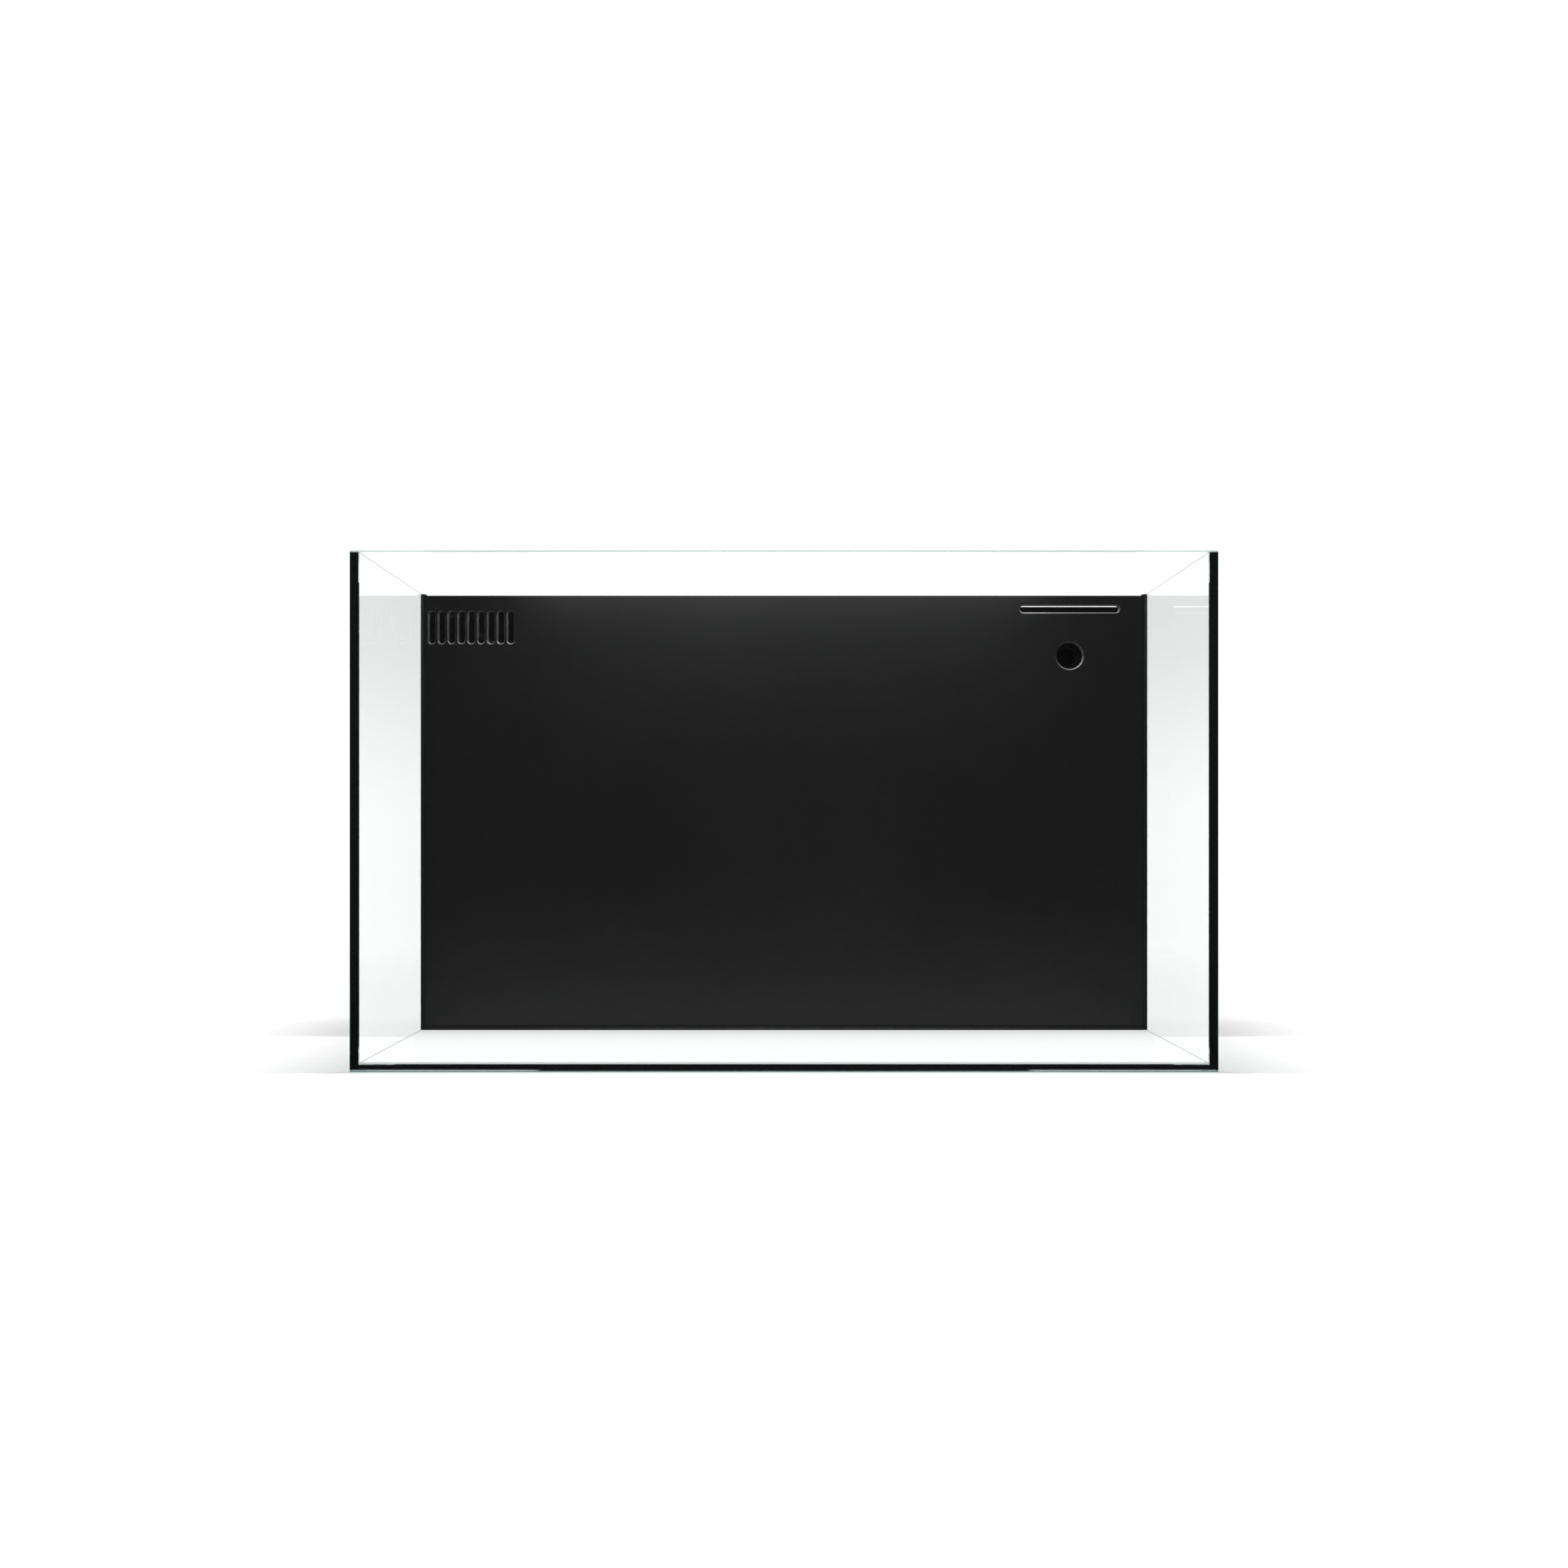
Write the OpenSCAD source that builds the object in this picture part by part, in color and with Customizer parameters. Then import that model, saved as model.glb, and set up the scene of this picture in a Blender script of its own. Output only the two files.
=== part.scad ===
// Rimless all-in-one aquarium: a bonded glass tank whose rear bay, behind a black
// partition, holds a lift-out media basket, a filter sponge and a return pump.
// Millimetres. The origin is the centre of the base, +Z is up, +X is to the
// viewer's right and -Y is towards the viewer.

/* [Tank] */
// Overall width of the glass
tank_w = 600; // [500:1:900]
// Overall depth, from the front face to the rear film
tank_d = 360; // [320:1:600]
// Overall height of the glass
tank_h = 360; // [300:1:600]
// Thickness of every pane
glass_t = 6; // [5:0.5:10]
// Width of the polished bevel on the free edges
edge_bevel = 0.8; // [0.3:0.1:1.5]
// Bevel ground along the floor's upper edges, front and rear
floor_bevel = 1.2; // [0.3:0.1:1.5]
// Thickness of the silicone between two panes
bond = 0.5; // [0.3:0.1:1]
// How far the front and rear seams stop short of a side pane's inner face
seam_inset = 0.6; // [0:0.1:2]
// How far the front and rear seams stop short of the floor
seam_inset_floor = 1.6; // [0:0.1:3]
// Thickness of the black film
film_t = 0.2; // [0.1:0.05:0.5]
// How far the film stops short of the glass edges
film_inset = 1.5; // [1:0.5:5]

/* [Partition] */
// Depth of the bay behind the partition
bay_d = 81.8; // [72:0.1:110]
// Thickness of the partition
wall_t = 6; // [4:0.5:8]
// How far the partition's top lies below the rim
wall_drop = 2; // [0:0.5:10]
// Leg of the silicone fillet beside the partition
wall_fillet = 2.8; // [1.5:0.1:4]
// Bevel on the front edge of every cut-out
cut_bevel = 0.9; // [0.3:0.1:1.2]
// Distance from one slot of the comb to the next
comb_pitch = 8; // [7.5:0.1:10]
// Width of a comb slot
comb_slot_w = 5; // [3:0.1:6]
// Length of a comb slot
comb_slot_l = 26; // [20:1:40]
// Side pane to the middle of the first slot
comb_inset = 8; // [7:0.5:12]
// Top of the partition to the middle of the comb
comb_drop = 25.7; // [22:0.1:40]
// Length of the safety overflow slot
overflow_l = 80.4; // [50:0.1:90]
// Height of the safety overflow slot
overflow_h = 5.6; // [4.5:0.1:7]
// Top of the partition to the middle of the overflow slot
overflow_drop = 10.7; // [8:0.1:12]
// Diameter of the return hole
return_d = 21.5; // [18:0.5:25.5]
// Side pane to the middle of the return hole
return_inset = 62; // [54:1:72]
// Top of the partition to the middle of the return hole
return_drop = 48.7; // [45:0.1:60]

/* [Baffles] */
// Thickness of a baffle
baffle_t = 4; // [3:0.5:6]
// Leg of the silicone fillet beside a baffle
baffle_fillet = 2.5; // [1.5:0.1:3]
// Top of the partition to the top of the tall baffles
baffle_drop = 8; // [4:1:20]
// Width of the bay that holds the basket
basket_bay_w = 82; // [76:1:90]
// Width of the bay that holds the sponge
sponge_bay_w = 148; // [110:1:170]
// Width of the bay that holds the pump
pump_bay_w = 124; // [118:1:134]
// Height of the gap under the intake baffle
underflow_h = 25; // [15:1:40]
// Top of the partition to the crest of the weir baffle
weir_drop = 68; // [50:1:100]
// Distance from one notch of the weir to the next
weir_pitch = 11.7; // [9:0.1:16]
// Width of a weir notch
weir_notch_w = 7; // [4:0.5:7]
// Depth of a weir notch
weir_notch_h = 18; // [8:1:30]
// Width of the window in the return baffle
window_w = 50; // [30:1:60]
// Height of the window in the return baffle
window_h = 30; // [20:1:40]
// Floor to the lower edge of that window
window_z = 36; // [20:1:60]

/* [Media basket] */
// Gap between the basket and the sides of its bay
basket_gap = 3; // [2.9:0.1:5]
// Wall thickness of the basket
basket_t = 2.5; // [2:0.5:3.5]
// Height of the legs under the basket's floor
basket_leg_h = 22; // [15:1:30]
// Side of a basket leg
basket_leg_w = 13; // [10:1:16]
// Lower end of the comb slots to the basket's rim
basket_drop = 5; // [3:1:20]
// Thickness of the floor and shelves
shelf_t = 2.5; // [2:0.5:4]
// Rim of the basket to the top of the upper shelf
pad_tier_h = 90; // [78:1:100]
// Top of the upper shelf to the top of the lower shelf
bag_tier_h = 78; // [70:1:86]
// Distance from one shelf hole to the next
shelf_pitch = 11; // [9:0.5:16]
// Diameter of a shelf hole
shelf_hole_d = 7; // [4:0.5:7.5]
// Height of a side window in the basket
vent_h = 6; // [4:0.5:8]
// Distance from one side window to the next
vent_pitch = 14; // [10:0.5:20]
// Length of the bail's arms
bail_l = 27; // [20:1:32]
// Diameter of the bail's grip
grip_d = 7; // [6:0.5:8]
// Diameter of the bail's pivots
pivot_d = 5; // [4:0.5:6]
// Rim of the basket to the bail's pivots
bail_drop = 9; // [9:0.5:14]

/* [Media] */
// Outer diameter of a ceramic ring
ring_d = 16; // [12:0.5:16]
// Bore of a ceramic ring
ring_bore = 7; // [4:0.5:8]
// Length of a ceramic ring
ring_l = 18; // [12:0.5:18]
// Height of the carbon bag
bag_h = 62; // [30:1:68]
// Height of the floss pad
floss_h = 46; // [20:1:60]
// Thickness of the filter sponge
sponge_t = 50; // [30:1:60]
// Crest of the weir to the top of the filter sponge
sponge_drop = 20; // [5:1:60]

/* [Pump] */
// Length of the motor block
motor_l = 42; // [36:1:50]
// Width and height of the motor block
motor_w = 46; // [39:1:54]
// Height of the suction cups
cup_h = 10; // [8:1:14]
// Tip of the impeller's blades to the volute's wall
volute_gap = 3.5; // [2:0.5:5]
// Thickness of the volute's wall
volute_wall = 2.5; // [2:0.5:3]
// Length of the volute
volute_l = 18; // [16:1:20]
// Diameter of the impeller
impeller_d = 34; // [28:1:40]
// Number of impeller blades
blades = 6; // [4:1:8]
// Diameter of the ceramic shaft
shaft_d = 3; // [2:0.5:4]
// Diameter of the rotor magnet
magnet_d = 22; // [18:1:26]
// Length of the rotor magnet
magnet_l = 28; // [20:1:28]
// Length of the strainer cap
strainer_l = 12; // [10:1:14]
// Number of slots round the strainer
strainer_slots = 14; // [8:1:16]
// Inner diameter of the return hose
hose_bore = 16; // [13:0.5:19]
// Wall of the return hose
hose_wall = 3; // [2:0.5:3.5]
// Rear face of the partition to the hose's centre line
hose_set = 30; // [28:1:34]

/* [Clearances] */
// Gap under a loose piece that stands on its seat
seat_gap = 0.3; // [0.1:0.1:0.5]
// Gap beside a soft piece or a dropped-in shelf
side_gap = 0.5; // [0.3:0.1:1]
// Radial clearance of a pin that turns in its hole
running = 0.08; // [0.02:0.01:0.1]

/* [Hidden] */

$fn = 64;
// Overshoot of a cut past the face it opens
eps = 0.5;

// Shell: faces of the panes
inner_x = tank_w / 2 - glass_t;
front_y = -tank_d / 2;
inner_front_y = front_y + glass_t;
rear_y = tank_d / 2 - film_t;
inner_rear_y = rear_y - glass_t;
floor_z = glass_t;

// Partition and the bay behind it
wall_back_y = inner_rear_y - bay_d;
wall_y = wall_back_y - wall_t;
wall_top = tank_h - wall_drop;
bay_y = (wall_back_y + inner_rear_y) / 2;
comb_count = floor((basket_bay_w - 2 * comb_inset) / comb_pitch) + 1;
comb_z = wall_top - comb_drop;
return_x = inner_x - return_inset;
return_z = wall_top - return_drop;
overflow_z = wall_top - overflow_drop;

// Baffles: middle of each sheet, and their tops
intake_baffle_x = -inner_x + basket_bay_w + baffle_t / 2;
weir_baffle_x = intake_baffle_x + baffle_t + sponge_bay_w;
return_baffle_x = inner_x - pump_bay_w - baffle_t / 2;
baffle_top = wall_top - baffle_drop;
weir_top = wall_top - weir_drop;
weir_notches = floor(bay_d / weir_pitch) - 1;

// Basket
basket_x = -inner_x + basket_bay_w / 2;
basket_w = basket_bay_w - 2 * basket_gap;
basket_d = bay_d - 2 * basket_gap;
basket_z = floor_z + seat_gap;
basket_top = comb_z - comb_slot_l / 2 - basket_drop;
basket_floor = basket_z + basket_leg_h + shelf_t;
shelf_upper_z = basket_top - pad_tier_h;
shelf_lower_z = shelf_upper_z - bag_tier_h;
cavity_w = basket_w - 2 * basket_t;
cavity_d = basket_d - 2 * basket_t;
pivot_z = basket_top - bail_drop;
ledge = 7;
ledge_h = 4;
vent_post = 9;
arm_t = 3;
arm_w = 8;
// Gap between a bail arm and the basket wall
arm_gap = 0.6;
pivot_head_t = 1.5;

// Sponge
sponge_x = (intake_baffle_x + weir_baffle_x) / 2;
guide_t = 3;
guide_w = 8;

// Pump: the shaft runs along X
hose_y = wall_back_y + hose_set;
pump_y = hose_y + 9;
pump_z = floor_z + cup_h + motor_w / 2;
volute_x = return_x - volute_l / 2;
motor_x = volute_x + volute_l;
strainer_x = volute_x - strainer_l;
chamber_d = impeller_d + 2 * volute_gap;
volute_d = chamber_d + 2 * volute_wall;
outlet_d = volute_l - 1;
outlet_bore = outlet_d - 5;
outlet_top = pump_z + volute_d / 2 + 12;
inlet_d = 16;
well_d = magnet_d + 3;
well_l = magnet_l + 6;
blade_l = 8;
impeller_x = volute_x + 4;
hub_d = 9;
dial_t = 3;
dial_x = strainer_x - seat_gap - dial_t;
dial_head_t = 1.5;
dial_d = 26;
dial_boss_d = 6;
dial_holes = 3;
dial_hole_d = 6;
dial_hole_r = 8;
screw_d = 3;
lug_d = 8;
lug_t = 4;
screw_r = (volute_d + lug_d) / 2 + 2;
cup_d = 16;
cup_inset = 11;
gland_d = 10;
gland_h = 7;
lead_d = 6;

// Return line
hose_od = hose_bore + 2 * hose_wall;
tail_d = hose_bore - 2 * running;
tail_bore = hose_bore - 4;
tail_l = 22;
collar_d = max(outlet_d, hose_bore) + 6;
collar_h = 10;
tail_z = outlet_top - collar_h / 2;
hose_z = tail_z + collar_h + 1;
elbow_d = return_d + 5.5;
elbow_leg_d = hose_bore + 8;
elbow_leg_l = 22;
elbow_reach = elbow_leg_d / 2 + 2;
elbow_tail_z = return_z - elbow_leg_l;
hose_top = elbow_tail_z - 1;
socket_l = 12;
flange_d = return_d + 18.5;
flange_t = 4;
clip_w = 8;
clip_t = 1.2;
clip_in = 5;
clip_lug = 7;

// A box given by its corners
module span(x0, x1, y0, y1, z0, z1) {
    translate([x0, y0, z0]) cube([x1 - x0, y1 - y0, z1 - z0]);
}

// A cylinder along X from x0 to x1, centred on y and z
module rod_x(x0, x1, y, z, d) {
    translate([x0, y, z]) rotate([0, 90, 0]) cylinder(d = d, h = x1 - x0);
}

// A cylinder along Y from y0 to y1, centred on x and z
module rod_y(y0, y1, x, z, d) {
    translate([x, y0, z]) rotate([-90, 0, 0]) cylinder(d = d, h = y1 - y0);
}

// A cylinder along Z from z0 to z1, centred on x and y
module rod_z(z0, z1, x, y, d) {
    translate([x, y, z0]) cylinder(d = d, h = z1 - z0);
}

// A rectangle with its four corners cut at 45 degrees
module bevelled(w, h, b) {
    polygon([
        [b, 0], [w - b, 0], [w, b], [w, h - b],
        [w - b, h], [b, h], [0, h - b], [0, b]
    ]);
}

// A box with round vertical edges, centred on x and y
module round_box(w, d, h, r) {
    translate([-w / 2 + r, -d / 2, 0]) cube([w - 2 * r, d, h]);
    translate([-w / 2, -d / 2 + r, 0]) cube([w, d - 2 * r, h]);
    for (sx = [-1, 1], sy = [-1, 1])
        translate([sx * (w / 2 - r), sy * (d / 2 - r), 0]) cylinder(r = r, h = h);
}

// A full-width pane at y0, bevelled along its vertical and horizontal edges
module cross_pane(y0) {
    intersection() {
        translate([-tank_w / 2, y0, 0]) linear_extrude(tank_h) bevelled(tank_w, glass_t, edge_bevel);
        translate([-tank_w / 2, y0, 0]) rotate([90, 0, 90])
            linear_extrude(tank_w) bevelled(glass_t, tank_h, edge_bevel);
    }
}

// A side pane at x0, between the seams of the front and rear panes
module side_pane(x0) {
    b = edge_bevel;
    translate([x0, inner_rear_y - bond, 0]) rotate([90, 0, 0])
        linear_extrude(inner_rear_y - inner_front_y - 2 * bond)
            polygon([
                [0, 0], [glass_t, 0], [glass_t, tank_h - b],
                [glass_t - b, tank_h], [b, tank_h], [0, tank_h - b]
            ]);
}

module front_pane() { color("azure") cross_pane(front_y); }

module rear_pane() { color("azure") cross_pane(inner_rear_y); }

module left_pane() { color("azure") side_pane(-tank_w / 2); }

module right_pane() { color("azure") side_pane(inner_x); }

module bottom_pane() {
    y0 = inner_front_y + bond;
    y1 = inner_rear_y - bond;
    color("azure")
        translate([-inner_x + bond, 0, 0]) rotate([90, 0, 90])
            linear_extrude(2 * (inner_x - bond))
                polygon([
                    [y0, 0], [y1, 0], [y1, floor_z - floor_bevel], [y1 - floor_bevel, floor_z],
                    [y0 + floor_bevel, floor_z], [y0, floor_z - floor_bevel]
                ]);
}

// The U of silicone between a cross pane and the three panes that meet it
module cross_seam(y0) {
    x = inner_x + seam_inset;
    difference() {
        span(-tank_w / 2, tank_w / 2, y0, y0 + bond, 0, tank_h - edge_bevel);
        span(-x, x, y0 - eps, y0 + bond + eps, floor_z - seam_inset_floor, tank_h + eps);
    }
}

module front_seam() { color("black") cross_seam(inner_front_y); }

module rear_seam() { color("black") cross_seam(inner_rear_y - bond); }

// The silicone between the bottom pane and a side pane
module side_seam(x0) {
    span(x0, x0 + bond, inner_front_y + bond, inner_rear_y - bond, 0, floor_z);
}

module left_seam() { color("black") side_seam(-inner_x); }

module right_seam() { color("black") side_seam(inner_x - bond); }

module rear_film() {
    color("black")
        span(-tank_w / 2 + film_inset, tank_w / 2 - film_inset, rear_y, rear_y + film_t,
             film_inset, tank_h - film_inset);
}

// Film on the outside of a side pane, over the bay only
module side_film(x0) {
    span(x0, x0 + film_t, wall_y, inner_rear_y - film_inset, film_inset, tank_h - film_inset);
}

module left_film() { color("black") side_film(-tank_w / 2 - film_t); }

module right_film() { color("black") side_film(tank_w / 2); }

// A slot through the partition, round at both ends and bevelled at the front.
// It lies along X, or along Z when upright is true; l and w are its through size.
module slot_cut(x, z, l, w, upright = false) {
    half = (l - w) / 2;
    front = cut_bevel + eps;
    translate([x, wall_y, z]) rotate([0, upright ? 90 : 0, 0]) {
        translate([-half, 0, -w / 2]) cube([2 * half, wall_t + eps, w]);
        translate([-half, 0, 0]) rotate([90, 0, 90])
            linear_extrude(2 * half)
                polygon([
                    [-eps, -w / 2 - front], [cut_bevel, -w / 2],
                    [cut_bevel, w / 2], [-eps, w / 2 + front]
                ]);
        for (s = [-1, 1]) translate([s * half, 0, 0]) rotate([-90, 0, 0]) {
            cylinder(d = w, h = wall_t + eps);
            translate([0, 0, -eps]) cylinder(d1 = w + 2 * front, d2 = w, h = front);
        }
    }
}

module false_wall() {
    color("#202020") difference() {
        span(-inner_x + bond, inner_x - bond, wall_y, wall_back_y, floor_z + bond, wall_top);
        for (i = [0 : comb_count - 1])
            slot_cut(-inner_x + comb_inset + i * comb_pitch, comb_z, comb_slot_l, comb_slot_w, true);
        slot_cut(return_x, overflow_z, overflow_l, overflow_h);
        translate([return_x, wall_y, return_z]) rotate([-90, 0, 0]) {
            cylinder(d = return_d, h = wall_t + eps);
            translate([0, 0, -eps])
                cylinder(d1 = return_d + 2 * (cut_bevel + eps), d2 = return_d, h = cut_bevel + eps);
        }
    }
}

// Cross-section of the silicone that holds a sheet's edge to a flat face: the
// face is y = 0 and the sheet, t thick, stands on x = 0
module edge_bead(t, leg) {
    polygon([
        [-t / 2 - leg, 0], [t / 2 + leg, 0], [t / 2, bond + leg], [t / 2, bond],
        [-t / 2, bond], [-t / 2, bond + leg]
    ]);
}

module wall_bead() {
    color("black") {
        for (s = [-1, 1])
            translate([s * inner_x, wall_y + wall_t / 2, floor_z]) rotate([0, 0, s * 90])
                linear_extrude(tank_h - edge_bevel - floor_z) edge_bead(wall_t, wall_fillet);
        translate([-inner_x, wall_y, floor_z]) rotate([90, 0, 90])
            linear_extrude(2 * inner_x)
                polygon([
                    [-wall_fillet, 0], [wall_t, 0], [wall_t, bond], [0, bond], [0, bond + wall_fillet]
                ]);
    }
}

// A sheet across the bay, centred on x, from z0 to z1
module baffle(x, z0, z1) {
    span(x - baffle_t / 2, x + baffle_t / 2, wall_back_y + bond, inner_rear_y - bond, z0, z1);
}

// The silicone down both edges of a baffle, and under it when it stands on the floor
module baffle_bead(x, z0, z1, foot) {
    for (side = [0, 1])
        translate([x, side ? inner_rear_y : wall_back_y, z0]) rotate([0, 0, side * 180])
            linear_extrude(z1 - z0) edge_bead(baffle_t, baffle_fillet);
    if (foot)
        translate([x, inner_rear_y, floor_z]) rotate([90, 0, 0])
            linear_extrude(bay_d) edge_bead(baffle_t, baffle_fillet);
}

module intake_baffle() {
    color("#202020") baffle(intake_baffle_x, floor_z + underflow_h, baffle_top);
}

module weir_baffle() {
    color("#202020") difference() {
        baffle(weir_baffle_x, floor_z + bond, weir_top);
        for (i = [0 : weir_notches - 1])
            translate([weir_baffle_x - baffle_t / 2 - eps,
                       bay_y + (i - (weir_notches - 1) / 2) * weir_pitch - weir_notch_w / 2,
                       weir_top - weir_notch_h])
                cube([baffle_t + 2 * eps, weir_notch_w, weir_notch_h + eps]);
    }
}

module return_baffle() {
    color("#202020") difference() {
        baffle(return_baffle_x, floor_z + bond, baffle_top);
        translate([return_baffle_x - baffle_t / 2 - eps, bay_y - window_w / 2, floor_z + window_z])
            cube([baffle_t + 2 * eps, window_w, window_h]);
    }
}

module intake_baffle_bead() {
    color("black") baffle_bead(intake_baffle_x, floor_z + underflow_h, baffle_top, false);
}

module weir_baffle_bead() {
    color("black") baffle_bead(weir_baffle_x, floor_z, weir_top, true);
}

module return_baffle_bead() {
    color("black") baffle_bead(return_baffle_x, floor_z, baffle_top, true);
}

// The four corner ledges that carry a shelf whose top is at z
module shelf_ledges(z) {
    for (sx = [-1, 1], sy = [-1, 1])
        translate([sx * (cavity_w - ledge) / 2, sy * (cavity_d - ledge) / 2,
                   z - shelf_t - seat_gap - ledge_h / 2])
            cube([ledge + eps, ledge + eps, ledge_h], center = true);
}

// A grid of holes, through a plate whose top is at z
module shelf_hole_grid(z) {
    nx = floor((cavity_w - shelf_hole_d - 4) / shelf_pitch);
    ny = floor((cavity_d - shelf_hole_d - 4) / shelf_pitch);
    for (i = [0 : nx], j = [0 : ny])
        translate([(i - nx / 2) * shelf_pitch, (j - ny / 2) * shelf_pitch, z - shelf_t - eps])
            cylinder(d = shelf_hole_d, h = shelf_t + 2 * eps, $fn = 24);
}

// Windows through all four walls of the basket, between heights z0 and z1
module tier_vents(z0, z1) {
    n = floor((z1 - z0 - vent_h) / vent_pitch);
    for (i = [0 : n]) translate([0, 0, (z0 + z1) / 2 + (i - n / 2) * vent_pitch]) {
        cube([cavity_w - 2 * vent_post, basket_d + 2 * eps, vent_h], center = true);
        cube([basket_w + 2 * eps, cavity_d - 2 * vent_post, vent_h], center = true);
    }
}

module basket_vents() {
    tier_vents(basket_floor + 4, shelf_lower_z - shelf_t - ledge_h - 3);
    tier_vents(shelf_lower_z + 4, shelf_upper_z - shelf_t - ledge_h - 3);
    tier_vents(shelf_upper_z + 4, pivot_z - arm_w / 2 - 2 * ledge_h);
}

// Blocks on the side walls that the folded bail lies on
module bail_rests() {
    for (sx = [-1, 1], sy = [-1, 1])
        translate([sx * (cavity_w / 2 - (arm_t + arm_gap) / 2), sy * (bail_l - arm_w),
                   pivot_z - arm_w / 2 - seat_gap - ledge_h / 2])
            cube([arm_t + arm_gap + eps, arm_w / 2, ledge_h], center = true);
}

module basket_body() {
    leg_gap_w = basket_w - 2 * basket_leg_w;
    leg_gap_d = basket_d - 2 * basket_leg_w;
    color("#303030") translate([basket_x, bay_y, 0]) difference() {
        union() {
            difference() {
                translate([0, 0, basket_z])
                    round_box(basket_w, basket_d, basket_top - basket_z, basket_t);
                translate([0, 0, (basket_floor + basket_top + eps) / 2])
                    cube([cavity_w, cavity_d, basket_top + eps - basket_floor], center = true);
                translate([0, 0, basket_z + (basket_leg_h - eps) / 2])
                    cube([cavity_w, cavity_d, basket_leg_h + eps], center = true);
                translate([0, 0, basket_z + basket_leg_h / 2 - eps])
                    cube([leg_gap_w, basket_d + 2 * eps, basket_leg_h], center = true);
                translate([0, 0, basket_z + basket_leg_h / 2 - eps])
                    cube([basket_w + 2 * eps, leg_gap_d, basket_leg_h], center = true);
                basket_vents();
                shelf_hole_grid(basket_floor);
            }
            shelf_ledges(shelf_lower_z);
            shelf_ledges(shelf_upper_z);
            bail_rests();
        }
        rod_x(-basket_w / 2 - eps, basket_w / 2 + eps, 0, pivot_z, pivot_d + 2 * running);
    }
}

// The bail lies folded towards the rear, on its rests
module basket_bail() {
    arm_x = cavity_w / 2 - arm_gap - arm_t;
    color("#303030") translate([basket_x, bay_y, pivot_z]) {
        for (s = [-1, 1]) {
            a = s > 0 ? arm_x : -arm_x - arm_t;
            span(a, a + arm_t, 0, bail_l, -arm_w / 2, arm_w / 2);
            rod_x(a, a + arm_t, 0, 0, arm_w + 2);
            p = s > 0 ? arm_x : -basket_w / 2 - arm_gap;
            rod_x(p, p + basket_w / 2 + arm_gap - arm_x, 0, 0, pivot_d);
            h = s > 0 ? basket_w / 2 + seat_gap : -basket_w / 2 - seat_gap - pivot_head_t;
            rod_x(h, h + pivot_head_t, 0, 0, pivot_d + 3);
        }
        rod_x(-arm_x - eps, arm_x + eps, bail_l - arm_w / 2, 0, grip_d);
    }
}

// A perforated shelf whose top is at z
module shelf(z) {
    color("#303030") translate([basket_x, bay_y, 0]) difference() {
        translate([0, 0, z - shelf_t / 2])
            cube([cavity_w - 2 * side_gap, cavity_d - 2 * side_gap, shelf_t], center = true);
        shelf_hole_grid(z);
    }
}

module shelf_lower() { shelf(shelf_lower_z); }

module shelf_upper() { shelf(shelf_upper_z); }

// Rings stacked on end in columns, standing on the basket's floor
module ceramic_rings() {
    nx = floor((cavity_w - 1) / (ring_d + 1));
    ny = floor((cavity_d - 1) / (ring_d + 1));
    layers = floor((shelf_lower_z - shelf_t - ledge_h - basket_floor) / (ring_l + seat_gap));
    color("linen") translate([basket_x, bay_y, basket_floor])
        for (i = [1 : nx], j = [1 : ny], k = [0 : layers - 1])
            translate([(i - (nx + 1) / 2) * cavity_w / nx, (j - (ny + 1) / 2) * cavity_d / ny,
                       seat_gap + k * (ring_l + seat_gap)])
                difference() {
                    cylinder(d = ring_d, h = ring_l, $fn = 24);
                    translate([0, 0, -eps]) cylinder(d = ring_bore, h = ring_l + 2 * eps, $fn = 24);
                }
}

module carbon_bag() {
    color("dimgray") translate([basket_x, bay_y, shelf_lower_z + seat_gap])
        round_box(cavity_w - 4 * side_gap, cavity_d - 4 * side_gap, bag_h, 12);
}

module floss_pad() {
    color("white") translate([basket_x, bay_y, shelf_upper_z + seat_gap])
        round_box(cavity_w - 2 * side_gap, cavity_d - 2 * side_gap, floss_h, 3);
}

// Four upright strips, bonded in pairs to the partition and the rear pane
module sponge_guides() {
    color("#202020")
        for (s = [-1, 1], y = [wall_back_y, inner_rear_y - guide_w]) {
            x = sponge_x + s * (sponge_t / 2 + side_gap) + (s < 0 ? -guide_t : 0);
            span(x, x + guide_t, y, y + guide_w, floor_z, weir_top);
        }
}

module filter_sponge() {
    color("#252a2c")
        span(sponge_x - sponge_t / 2, sponge_x + sponge_t / 2,
             wall_back_y + side_gap, inner_rear_y - side_gap,
             floor_z + seat_gap, weir_top - sponge_drop);
}

module pump_motor() {
    r = 5;
    color("#1c1c1e") translate([motor_x, pump_y, pump_z]) difference() {
        union() {
            rotate([0, 90, 0]) round_box(motor_w, motor_w, motor_l, r);
            for (a = [45 : 90 : 315]) rotate([a, 0, 0])
                rod_x(0, lug_t, 0, screw_r, lug_d);
        }
        rod_x(-eps, well_l, 0, 0, well_d);
        for (a = [45 : 90 : 315]) rotate([a, 0, 0])
            rod_x(-eps, lug_t + eps, 0, screw_r, screw_d);
        rod_z(motor_w / 2 - 3, motor_w / 2 + eps, motor_l - gland_d, 0, gland_d);
    }
}

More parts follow.
